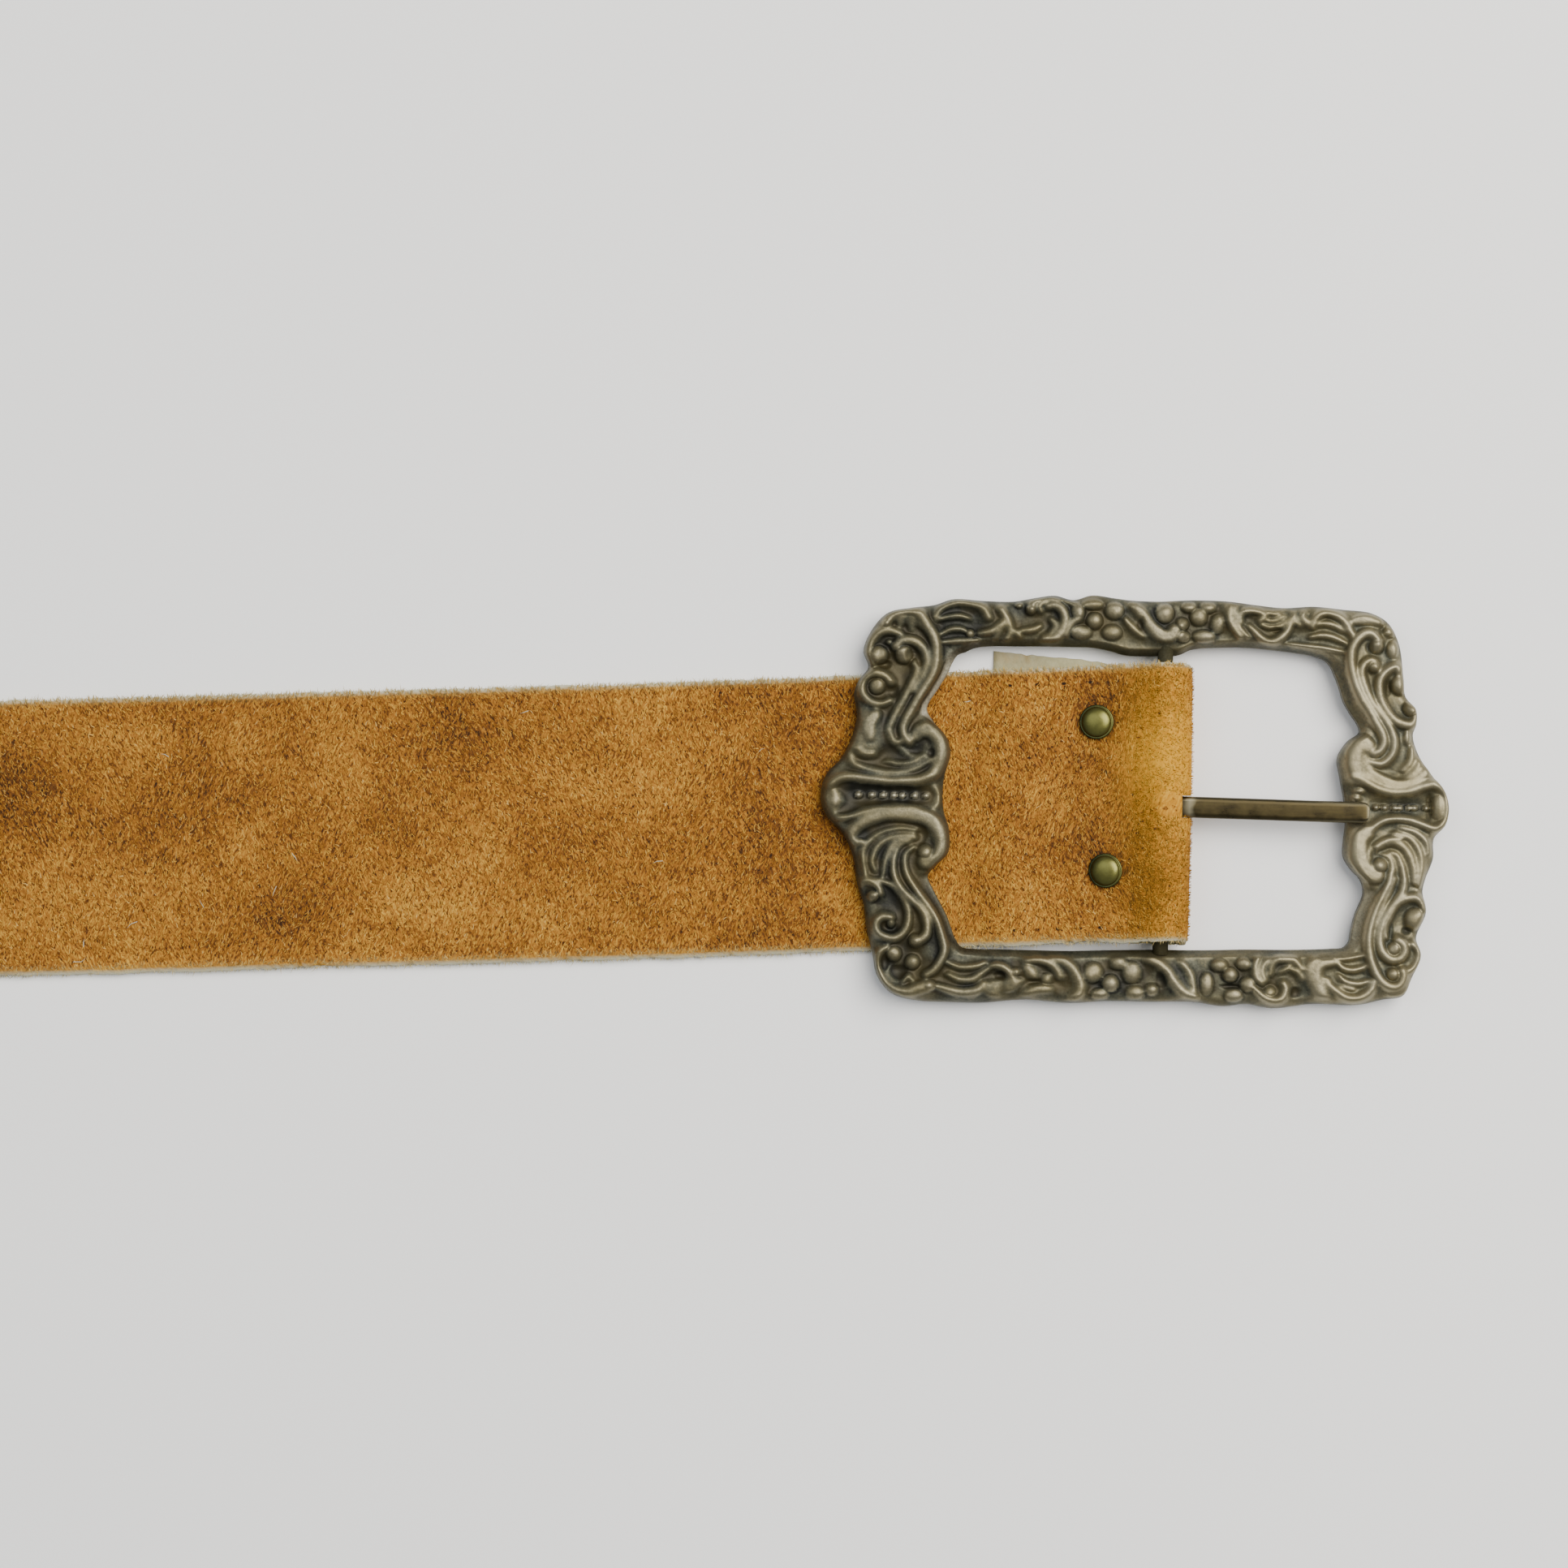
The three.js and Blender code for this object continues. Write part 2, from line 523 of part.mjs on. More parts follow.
function turned(profile, sides) {
  return new THREE.LatheGeometry(profile.map(([radius, z]) => new THREE.Vector2(radius, z)), sides)
    .rotateX(Math.PI / 2);
}

function makeRivetShape() {
  const { radius, tall, rim } = RIVET_HEAD;
  const under = STRAP_THICK / 2 + GAP;
  const capTop = RIVET_CAP.thick - RIVET_CAP.below;
  const profile = [[0, -RIVET_CAP.below], [RIVET_CAP.radius, -RIVET_CAP.below]];
  profile.push([RIVET_CAP.radius, capTop], [RIVET_POST, capTop], [RIVET_POST, under]);
  profile.push([radius, under], [radius, under + rim]);
  for (let i = 1; i < 5; i += 1) {
    const turn = (i / 5) * (Math.PI / 2);
    profile.push([radius * Math.cos(turn), under + rim + (tall - rim) * Math.sin(turn)]);
  }
  profile.push([0, under + tall]);
  return turned(profile, 16);
}

// Its hole through both layers, widened below for the cap and pressed flat above for the head
function makeRivetRoom() {
  const capTop = RIVET_CAP.thick - RIVET_CAP.below + GAP;
  const seat = STRAP_THICK / 2;
  const far = 9;
  const cap = RIVET_CAP.radius + GAP;
  const post = RIVET_POST + GAP;
  const head = RIVET_HEAD.radius + GAP;
  const profile = [[0, -far], [cap, -far], [cap, capTop], [post, capTop], [post, seat]];
  return turned([...profile, [head, seat], [head, far], [0, far]], 16);
}

// Seats a piece at a place on the main run, square to the suede there
function placeOnStrap(geometry, { x, y }) {
  let [low, high] = [CREST_AT, CREST_AT + 60];
  for (let i = 0; i < 40; i += 1) {
    const middle = (low + high) / 2;
    if (alongSideView(middle).x > x) low = middle;
    else high = middle;
  }
  const spot = alongSideView(low);
  const tilt = spot.heading - Math.PI;
  return geometry.rotateY(-tilt).translate(spot.x, y, spot.z);
}

function makeRivet(rivet) {
  return finished(rivet.name, plainCopy(placeOnStrap(makeRivetShape(), rivet)), FINISH.rivet);
}

// The belt, stood on the middle of its footprint
const buckled = new THREE.Group();
buckled.add(makeStrap(), makeBuckleFrame(), makeProng(), ...RIVETS.map(makeRivet));
buckled.rotation.z = -FAR_SLANT;

const belt = new THREE.Group();
belt.add(buckled);
belt.updateMatrixWorld(true);
const reach = new THREE.Box3().setFromObject(belt, true);
const middle = reach.getCenter(new THREE.Vector3());
belt.position.set(-middle.x, -middle.y, -reach.min.z);

export default belt;
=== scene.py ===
"""Suede belt with an antiqued scrollwork buckle, lying flat and seen from above its buckle end."""

import json
import math

import bmesh
import bpy
import numpy as np
from mathutils import Matrix, Vector


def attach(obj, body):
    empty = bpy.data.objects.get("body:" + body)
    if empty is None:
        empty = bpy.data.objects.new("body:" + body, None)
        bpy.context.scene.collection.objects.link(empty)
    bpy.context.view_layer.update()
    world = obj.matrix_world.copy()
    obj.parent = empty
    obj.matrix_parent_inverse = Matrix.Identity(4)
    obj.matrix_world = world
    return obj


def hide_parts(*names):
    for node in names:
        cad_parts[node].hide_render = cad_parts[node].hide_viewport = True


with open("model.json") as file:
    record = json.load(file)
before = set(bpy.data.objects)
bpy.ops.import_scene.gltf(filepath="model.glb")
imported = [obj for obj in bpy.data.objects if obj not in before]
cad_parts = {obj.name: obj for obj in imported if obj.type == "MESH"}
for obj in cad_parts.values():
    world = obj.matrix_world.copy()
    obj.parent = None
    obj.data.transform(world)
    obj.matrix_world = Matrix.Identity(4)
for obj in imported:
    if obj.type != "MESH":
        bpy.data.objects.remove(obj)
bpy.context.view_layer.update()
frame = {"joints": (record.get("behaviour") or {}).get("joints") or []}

# Lie of the belt
# The buckle is drawn in its own plan, in millimetres, x to the right and y up from the middle of
# its frame. Its centre bar is the hinge of the frame, and the far strap runs along X.
MM = 0.001
BAR_X = 4.35
hinge = frame["joints"][0]
bar_middle = Vector(hinge["pos_m"])
buckle_turn = math.atan2(-hinge["axis"][0], hinge["axis"][1])
bar_z = bar_middle.z / MM
from_plan = (
    Matrix.Translation(Vector((bar_middle.x, bar_middle.y, 0)))
    @ Matrix.Rotation(buckle_turn, 4, "Z")
    @ Matrix.Scale(MM, 4)
    @ Matrix.Translation(Vector((-BAR_X, 0, 0)))
)


def to_row(points):
    """Plan points in millimetres, any shape of array ending in x, y, z, as metres in the row frame."""
    turn = np.array(from_plan.to_3x3())
    return points @ turn.T + np.array(from_plan.translation)


# Strap
# One length of tan split suede, brushed on its face and pale and smooth on its back. It goes under
# the left of the buckle, over the centre bar, and is turned back under itself as a short tab.
STRAP_WIDE = 44.45
STRAP_THICK = 1.9
FOLD_MIDDLE = bar_z - STRAP_THICK / 2
TAB_LENGTH = 27.5
SKIVED_THICK = 0.6
SKIVE_LENGTH = 14
FOLD_SLANT = math.radians(3.2)
FAR_SLANT = math.radians(2.5)
SLANT_CHANGE = (-55, -105)
FOLD_Y = 0.25
TAB_SLIP = 1.55
TAB_TURN = 0.042
LAYER_Z = STRAP_THICK * 1.5 + 0.3
CREST_TURN = math.radians(26)
RAMP_START = 21.5
RAMP_LENGTH = 12.5
HOLE_PITCH = 25.4
MIDDLE_HOLE = 30 * HOLE_PITCH
HOLE_ROUND = 4.8
TIP_PAST_HOLES = 60
TIP_ROUNDING = 16
NEAR_LENGTH = 170
EDGE_ROLL = 0.35
EDGE_ROLL_WIDE = 0.4
WALL_BULGE = 0.12

# Side view of the strap, as runs of even curvature from the end of the tab to the tip
crest_sum = (bar_z + FOLD_MIDDLE - LAYER_Z) / (1 - math.cos(CREST_TURN))
hump_length = crest_sum * math.sin(CREST_TURN)
ramp_turn = 2 * math.atan((LAYER_Z - STRAP_THICK / 2) / RAMP_LENGTH)
ramp_run = ramp_turn * RAMP_LENGTH / (2 * math.sin(ramp_turn))
tip_from_fold = MIDDLE_HOLE + 2 * HOLE_PITCH + TIP_PAST_HOLES
far_length = tip_from_fold - bar_z - RAMP_START - RAMP_LENGTH
SIDE_VIEW = [
    # run, turn, spacing of the mesh
    (TAB_LENGTH, 0, 0.9),
    (FOLD_MIDDLE * math.pi, math.pi, 0.3),
    (FOLD_MIDDLE * CREST_TURN, CREST_TURN, 0.3),
    ((crest_sum - FOLD_MIDDLE) * CREST_TURN, -CREST_TURN, 0.5),
    (RAMP_START - hump_length, 0, 0.6),
    (ramp_run, ramp_turn, 0.5),
    (ramp_run, -ramp_turn, 0.5),
    (NEAR_LENGTH, 0, 0.75),
    (far_length - NEAR_LENGTH - TIP_ROUNDING, 0, 3.0),
]
crest_at = SIDE_VIEW[0][0] + SIDE_VIEW[1][0]
tip_start = sum(row[0] for row in SIDE_VIEW)
STRAP_END = tip_start + TIP_ROUNDING
HOLES_AT = [STRAP_END - (TIP_PAST_HOLES + step * HOLE_PITCH) for step in (4, 3, 2, 1, 0)]


def eased(share):
    """A share from 0 to 1 that leaves 0 and reaches 1 gently."""
    return share * share * (3 - 2 * share)


def side_view(distances):
    """Place and heading of the strap's middle layer at distances from the end of the tab."""
    x = np.full_like(distances, BAR_X - TAB_LENGTH)
    z = np.full_like(distances, STRAP_THICK / 2)
    heading = np.zeros_like(distances)
    left = distances.copy()
    for run, turn, _ in SIDE_VIEW + [(2 * TIP_ROUNDING, 0, 0)]:
        part = np.clip(left, 0, run)
        bend = turn * part / run
        reach = part * np.sinc(bend / (2 * math.pi))
        x += reach * np.cos(heading + bend / 2)
        z += reach * np.sin(heading + bend / 2)
        heading += bend
        left -= part
    return x, z, heading


def strap_places(distances, across, height):
    """Plan places of points on the strap: how far along, how far across, how far above its middle."""
    x, z, heading = side_view(distances)
    near, far = SLANT_CHANGE
    bent = np.clip(near - x, 0, near - far)
    beyond = np.clip(far - x, 0, None)
    change = math.tan(FOLD_SLANT) - math.tan(FAR_SLANT)
    middle = FOLD_Y - math.tan(FOLD_SLANT) * (distances - crest_at)
    middle += change * (bent**2 / (2 * (near - far)) + beyond)
    # The turned-back end has slipped across a little round the bar and lies more aslant
    round_bar = FOLD_MIDDLE * math.pi
    slipped = np.clip((crest_at - distances) / round_bar, 0, 1)
    middle -= TAB_SLIP * eased(slipped)
    middle += TAB_TURN * np.clip(crest_at - round_bar - distances, 0, None)
    square = eased(np.clip((near - x) / (near - far), 0, 1))
    return np.stack(
        [
            x + np.sin(heading) * height + square * math.tan(FAR_SLANT) * across,
            middle + across / math.cos(FOLD_SLANT),
            z - np.cos(heading) * height,
        ],
        axis=-1,
    )


def wander(seed, count, smooth):
    """Even random noise along a line, smoothed over some steps and brought back to about one."""
    noise = np.random.default_rng(seed).normal(size=count + 6 * smooth)
    window = np.hanning(2 * smooth + 1)
    noise = np.convolve(noise, window / window.sum(), mode="same")[3 * smooth : 3 * smooth + count]
    return noise / (noise.std() + 1e-9)


stops = [0.0]
for run, _, spacing in SIDE_VIEW:
    steps = math.ceil(run / spacing)
    stops += list(stops[-1] + run * np.arange(1, steps + 1) / steps)
stops += list(tip_start + TIP_ROUNDING * np.sin(np.linspace(0, math.pi / 2, 25)[1:]))
stops = np.array(stops)
into_tip = np.clip((stops - tip_start) / TIP_ROUNDING, 0, 1)
half_width = STRAP_WIDE / 2 * np.maximum(np.sqrt(np.clip(1 - into_tip**2.4, 0, 1)), 0.02)

# Round the section: the face, one wall, the back and the other wall. Height counts from the middle
# layer towards the face.
FACE_COLUMNS = 64
BACK_COLUMNS = 22
WALL_ROWS = 4
turns = np.linspace(0, math.pi, WALL_ROWS + 2)[1:-1]
section = [(w, 1.0, 0.0) for w in np.linspace(-1, 1, FACE_COLUMNS)]
section += [(1.0, math.cos(a), math.sin(a)) for a in turns]
section += [(w, -1.0, 0.0) for w in np.linspace(1, -1, BACK_COLUMNS)]
section += [(-1.0, -math.cos(a), math.sin(a)) for a in turns]
section = np.array(section + section[:1])
sideways, upward, bulge = [column[None, :] for column in section.T]

count = len(stops)
ragged_right = 0.08 * wander(11, count, 1) + 0.10 * wander(12, count, 8)
ragged_left = 0.08 * wander(21, count, 1) + 0.10 * wander(22, count, 8)
ragged = np.where(sideways > 0, ragged_right[:, None], -ragged_left[:, None])
undulation = 0.09 * wander(5, count, 26)

RIVETS = [
    # name, x, y, tilt to the left in degrees, turn of the tilt
    ("rivet_upper", -6.4, 12.9, 0.0, 0.0),
    ("rivet_lower", -4.5, -11.0, 4.0, -60.0),
]
RIVET_RADIUS = 2.8


def face_height(distance, across):
    """How far the brushed face lies above the middle layer: rolled edges, waves, dents at the rivets."""
    half = np.interp(distance, stops, half_width)
    from_rim = np.clip(half - np.abs(across), 0, None)
    height = STRAP_THICK / 2 - EDGE_ROLL * np.exp(-from_rim / EDGE_ROLL_WIDE)
    height += np.interp(distance, stops, undulation) * np.cos(across / half * 2.2)
    spot = strap_places(distance, across, np.zeros_like(distance))
    for _, x, y, _, _ in RIVETS:
        off = np.hypot(spot[..., 0] - x, spot[..., 1] - y)
        sunk = 0.32 * np.exp(-((np.clip(off - RIVET_RADIUS, 0, None) / 1.3) ** 2))
        height -= np.where(distance > crest_at, sunk, 0)
    return height


def put(name, data):
    """Links an object with its data into the scene, at the origin."""
    made = bpy.data.objects.new(name, data)
    bpy.context.scene.collection.objects.link(made)
    return made


def add_piece(name, bm):
    """Turns a bmesh into an object at the origin, smooth all over."""
    mesh = bpy.data.meshes.new(name)
    for face in bm.faces:
        face.smooth = True
    bm.to_mesh(mesh)
    bm.free()
    return put(name, mesh)


def bent_strip(name, places, marks, caps=False):
    """A grid of squares bent so that each corner lies at its place in the row frame, seams merged.

    places has one row for each line of the grid, and marks gives named values for its corners.
    """
    rows, columns = places.shape[:2]
    bm = bmesh.new()
    bmesh.ops.create_grid(bm, x_segments=columns - 1, y_segments=rows - 1, size=1)
    layers = {mark: bm.verts.layers.float.new(mark) for mark in marks}
    for corner in bm.verts:
        column = round((corner.co.x + 1) / 2 * (columns - 1))
        row = round((corner.co.y + 1) / 2 * (rows - 1))
        corner.co = places[row, column]
        for mark, layer in layers.items():
            corner[layer] = float(marks[mark][row, column])
    bmesh.ops.remove_doubles(bm, verts=bm.verts, dist=1e-7)
    if caps:
        rims = [edge for edge in bm.edges if edge.is_boundary]
        bmesh.ops.holes_fill(bm, edges=rims, sides=0)
    bmesh.ops.recalc_face_normals(bm, faces=bm.faces)
    return add_piece(name, bm)


along = np.repeat(stops[:, None], len(section), axis=1)
across = half_width[:, None] * sideways + ragged * np.abs(sideways) ** 8
across += WALL_BULGE * bulge * sideways
high = face_height(along, across)
from_rim = half_width[:, None] * (1 - np.abs(sideways))
low = -STRAP_THICK / 2 + EDGE_ROLL * np.exp(-from_rim / EDGE_ROLL_WIDE)
# The end of the tab is skived thin, so the strap passes over it without a step
skived = np.clip(1 - along / SKIVE_LENGTH, 0, 1)
low += (STRAP_THICK - SKIVED_THICK) * eased(skived)
places = strap_places(along, across, (low + high) / 2 + upward * (high - low) / 2)
strap = bent_strip("strap_suede", to_row(places), {}, caps=True)


def drill(piece, cutters):
    """Cuts the cutters out of a piece, and takes them away."""
    for cutter in cutters:
        cut = piece.modifiers.new(cutter.name, "BOOLEAN")
        cut.operation = "DIFFERENCE"
        cut.solver = "EXACT"
        cut.object = cutter
    cut_piece = piece.evaluated_get(bpy.context.evaluated_depsgraph_get())
    shaped = bpy.data.meshes.new_from_object(cut_piece)
    piece.modifiers.clear()
    piece.data = shaped
    for cutter in cutters:
        bpy.data.objects.remove(cutter)


# The slot for the prong reaches from its lifted place down past the floor
PRONG_Y = -0.5
SLOT_WIDE = 3.6
PUNCH_LENGTH = 8
SLOT_SIDE_VIEW = [(-0.5, 0), (-0.9, 1.73), (9.74, 7.27), (12, -12), (-0.5, -12)]
bm = bmesh.new()
low_y = PRONG_Y - 0.05 - SLOT_WIDE / 2
corners = [bm.verts.new(to_row(np.array([BAR_X + x, low_y, bar_z + z]))) for x, z in SLOT_SIDE_VIEW]
wall = bm.faces.new(corners)
drawn = bmesh.ops.extrude_face_region(bm, geom=[wall])
shift = from_plan.to_3x3() @ Vector((0, SLOT_WIDE, 0))
drawn_corners = [part for part in drawn["geom"] if isinstance(part, bmesh.types.BMVert)]
bmesh.ops.translate(bm, verts=drawn_corners, vec=shift)
bmesh.ops.recalc_face_normals(bm, faces=bm.faces)
cutters = [add_piece("slot_cutter", bm)]
radius = HOLE_ROUND / 2 * MM
for number, hole_at in enumerate(HOLES_AT, 1):
    middle = strap_places(np.array([hole_at]), 0.0, 0.0)[0]
    bm = bmesh.new()
    bmesh.ops.create_cone(
        bm,
        cap_ends=True,
        segments=32,
        radius1=radius,
        radius2=radius,
        depth=PUNCH_LENGTH * MM,
    )
    bmesh.ops.translate(bm, verts=bm.verts, vec=Vector(to_row(middle)))
    cutters.append(add_piece(f"punch_{number}", bm))
drill(strap, cutters)

# Marks on the strap's corners: how far along and across they lie on the flat suede, how much of the
# raw edge or the back they show, how worn they are, and how dark: patches, and painted shade at the
# rivets.
PATCHES = [
    # x, y, radius along, radius across, darker by
    (-179.5, -2.0, 14, 9, 1.0),
    (-138.0, -20.0, 12, 6, 0.9),
    (-98.0, -13.8, 8, 7, 0.7),
    (-153.0, -4.0, 10, 7, 0.6),
    (-106.0, 10.0, 7, 9, 0.6),
    (-58.0, 0.0, 9, 24, 0.6),
    (-3.6, 16.8, 7, 5, 0.8),
    (0.0, 0.5, 5, 6, 0.6),
    (2.5, -13.5, 6, 6, 0.9),
    (-9.0, -8.0, 8, 8, 0.4),
    (5.2, 7.0, 4, 6, -0.9),
    (-17.0, 4.0, 8, 8, -0.4),
    (-113.0, -19.0, 9, 4, -1.0),
    (-106.0, -13.0, 5, 3.5, -0.9),
    (-80.0, 12.0, 9, 8, -0.4),
]


def grid_noise(seed, x, y, size):
    """Smooth random field in -1 to 1 at points, with bumps about as wide as size."""
    cells = 64
    values = np.random.default_rng(seed).uniform(-1, 1, (cells, cells))
    gx, gy = x / size + 1000, y / size + 1000
    ix, iy = np.floor(gx).astype(int), np.floor(gy).astype(int)
    fx, fy = eased(gx - ix), eased(gy - iy)

    def corner(right, up):
        """Value at one corner of the cell round each point."""
        return values[(ix + right) % cells, (iy + up) % cells]

    near = corner(0, 0) * (1 - fx) + corner(1, 0) * fx
    far = corner(0, 1) * (1 - fx) + corner(1, 1) * fx
    return near * (1 - fy) + far * fy


def patches_and_painted_shade(distance, across_at):
    """How dark a place of the strap is: patches, about 0 on average, and painted shade round the rivets.
    """
    spot = strap_places(distance, across_at, np.zeros_like(distance))
    x, y = spot[:, 0], spot[:, 1]
    dark = 0.4 * grid_noise(31, x, y, 19)
    dark += 0.4 * grid_noise(32, x, y, 8)
    dark += 0.3 * grid_noise(33, x, y, 3.2)
    for px, py, rx, ry, amount in PATCHES:
        dark += 1.1 * amount * np.exp(-(((x - px) / rx) ** 2) - ((y - py) / ry) ** 2)
    # Painted shade: a dark ring in the suede round the rim of each rivet head
    for _, px, py, _, _ in RIVETS:
        rim = np.clip(np.hypot(x - px, y - py) - RIVET_RADIUS, 0, None)
        dark += np.where(distance > crest_at, 0.9 * np.exp(-((rim / 0.5) ** 2)), 0)
    return np.clip(dark, -1.2, 1.1)


def fold_worn(distance, across_at):
    """How far the nap is rubbed away at a place of the strap: most on the fold, above the prong."""
    along_fold = np.exp(-((np.clip(distance - crest_at - 1.0, 0, None) / 5.5) ** 2))
    above_prong = 0.3 + 0.7 * np.exp(-(((across_at - 7) / 8) ** 2))
    return along_fold * above_prong * (distance > crest_at - 9)


# The worn rim along the cut edges is as wide as this, on the suede and on its fibres
EDGE_WEAR = 1.1
from_row = np.array(from_plan.inverted())
mesh = strap.data
points = np.empty(len(mesh.vertices) * 3)
mesh.vertices.foreach_get("co", points)
points = points.reshape(-1, 3) @ from_row[:3, :3].T + from_row[:3, 3]
guide = np.linspace(0, STRAP_END, 6000)
guide_x, guide_z, _ = side_view(guide)
distance_at = np.empty(len(points))
BATCH = 4000
for start in range(0, len(points), BATCH):
    part = slice(start, start + BATCH)
    gap = (points[part, 0:1] - guide_x[None, :]) ** 2 + (points[part, 2:3] - guide_z[None, :]) ** 2
    distance_at[part] = guide[np.argmin(gap, axis=1)]
spot_x, spot_z, spot_heading = side_view(distance_at)
middle_y = strap_places(distance_at, 0.0, 0.0)[:, 1]
across_at = (points[:, 1] - middle_y) * math.cos(FOLD_SLANT)
off_x, off_z = points[:, 0] - spot_x, points[:, 2] - spot_z
height_at = off_x * np.sin(spot_heading) - off_z * np.cos(spot_heading)
half_at = np.interp(distance_at, stops, half_width)
from_edge = half_at - np.abs(across_at)
edge_at = np.clip(1 - from_edge / EDGE_WEAR, 0, 1)
raw_at = np.clip(1 - from_edge / 0.3, 0, 1)
skived_at = np.clip(1 - distance_at / SKIVE_LENGTH, 0, 1)
back_at = np.clip((0.3 - height_at + 0.75 * skived_at * skived_at) / 0.6, 0, 1)


def mark(piece, name, values):
    """Keeps a value for each corner of a piece."""
    layer = piece.data.attributes.new(name, "FLOAT", "POINT")
    layer.data.foreach_set("value", values.astype(np.float32))


lie = np.stack([distance_at, across_at, height_at], axis=1) * MM
lie_layer = strap.data.attributes.new("lie", "FLOAT_VECTOR", "POINT")
lie_layer.data.foreach_set("vector", lie.ravel())
mark(strap, "edge", edge_at)
mark(strap, "raw", raw_at)
mark(strap, "back", back_at)
mark(strap, "worn", fold_worn(distance_at, across_at))
mark(strap, "dark", patches_and_painted_shade(distance_at, across_at))


def linear(shade):
    """An sRGB hex colour as linear red, green, blue and alpha."""
    parts = [int(shade[i : i + 2], 16) / 255 for i in (1, 3, 5)]
    return [c / 12.92 if c <= 0.04045 else ((c + 0.055) / 1.055) ** 2.4 for c in parts] + [1.0]


def new_material(name):
    """A new material, emptied of nodes, and the tree that it is built in."""
    material = bpy.data.materials.new(name)
    material.use_nodes = True
    material.node_tree.nodes.clear()
    return material, material.node_tree


def add(tree, kind, inputs=None, **settings):
    """Adds a node, sets its settings, and links or sets its inputs."""
    made = tree.nodes.new(kind)
    for setting, value in settings.items():
        setattr(made, setting, value)
    for socket, value in (inputs or {}).items():
        if isinstance(value, bpy.types.NodeSocket):
            tree.links.new(value, made.inputs[socket])
        else:
            made.inputs[socket].default_value = value
    return made


def surfaced(material, tree, inputs):
    """Closes a material with one principled surface."""
    shader = add(tree, "ShaderNodeBsdfPrincipled", inputs)
    add(tree, "ShaderNodeOutputMaterial", {"Surface": shader.outputs[0]})
    return material


def bumped(tree, height, strength, distance):
    """Relief of a surface, from a height between 0 and 1 that stands for a distance in metres."""
    inputs = {"Height": height, "Strength": strength, "Distance": distance}
    return add(tree, "ShaderNodeBump", inputs).outputs[0]


def shaded(tree, value, shades):
    """A value as a colour that runs through shades, each at its place from 0 to 1."""
    ramp = add(tree, "ShaderNodeValToRGB", {"Fac": value})
    for place, shade in shades:
        stop = ramp.color_ramp.elements.new(place)
        stop.color = linear(shade)
    ramp.color_ramp.elements.remove(ramp.color_ramp.elements[0])
    ramp.color_ramp.elements.remove(ramp.color_ramp.elements[-1])
    return ramp.outputs[0]


def mix(tree, factor, first, second):
    """Mixes two colours: all first at factor 0, all second at 1."""
    inputs = {0: factor, 6: first, 7: second}
    return add(tree, "ShaderNodeMix", inputs, data_type="RGBA").outputs[2]


def sums(tree, kind, *values):
    """One step of arithmetic."""
    return add(tree, "ShaderNodeMath", dict(enumerate(values)), operation=kind).outputs[0]


def value_of(tree, name, output="Fac"):
    """Reads a named value of the mesh."""
    return add(tree, "ShaderNodeAttribute", attribute_name=name).outputs[output]


def noise(tree, vector, scale, detail=2.0, roughness=0.5):
    """Cloudy noise between 0 and 1. Scale counts its clouds in a metre, so 1000 makes them 1 mm."""
    inputs = {"Vector": vector, "Scale": scale, "Detail": detail, "Roughness": roughness}
    return add(tree, "ShaderNodeTexNoise", inputs).outputs["Fac"]


def window(tree, value, low, high, bottom=0.0, top=1.0):
    """Stretches a value from low to high over bottom to top, clamped."""
    inputs = {"Value": value, "From Min": low, "From Max": high, "To Min": bottom, "To Max": top}
    return add(tree, "ShaderNodeMapRange", inputs).outputs["Result"]


def strokes(tree, vector, angle, length, breadth, detail=3.0):
    """Noise drawn out into short strokes of a real length and breadth in millimetres."""
    turn = {"Vector": vector, "Rotation": (0, 0, math.radians(-angle)), "Scale": (1, 1, 1)}
    turned = add(tree, "ShaderNodeMapping", turn).outputs[0]
    inputs = {"Vector": turned, "Scale": (1000 / length, 1000 / breadth, 1000 / breadth)}
    drawn_out = add(tree, "ShaderNodeMapping", inputs).outputs[0]
    return noise(tree, drawn_out, 1.0, detail, 0.55)


def pricked(tree, lie, line, pitch, shift):
    """Mask of a row of old needle holes along the belt near its fold: small and oblong, dark with painted
    shade.
    """
    half_long, half_wide = 0.42, 0.26
    place = add(tree, "ShaderNodeSeparateXYZ", {"Vector": lie}).outputs
    along = sums(tree, "MULTIPLY", place["X"], 1000.0)
    across = sums(tree, "MULTIPLY", place["Y"], 1000.0)
    wave = sums(tree, "PINGPONG", sums(tree, "ADD", along, shift), pitch / 2)
    off_along = sums(tree, "DIVIDE", wave, half_long)
    off_across = sums(tree, "DIVIDE", sums(tree, "SUBTRACT", across, line), half_wide)
    square_along = sums(tree, "MULTIPLY", off_along, off_along)
    square_across = sums(tree, "MULTIPLY", off_across, off_across)
    hole = window(tree, sums(tree, "ADD", square_along, square_across), 0.5, 1.3, 1.0, 0.0)
    first = window(tree, along, crest_at + 4.0, crest_at + 5.0)
    last = window(tree, along, crest_at + 26.0, crest_at + 27.0, 1.0, 0.0)
    return sums(tree, "MULTIPLY", hole, sums(tree, "MULTIPLY", first, last))


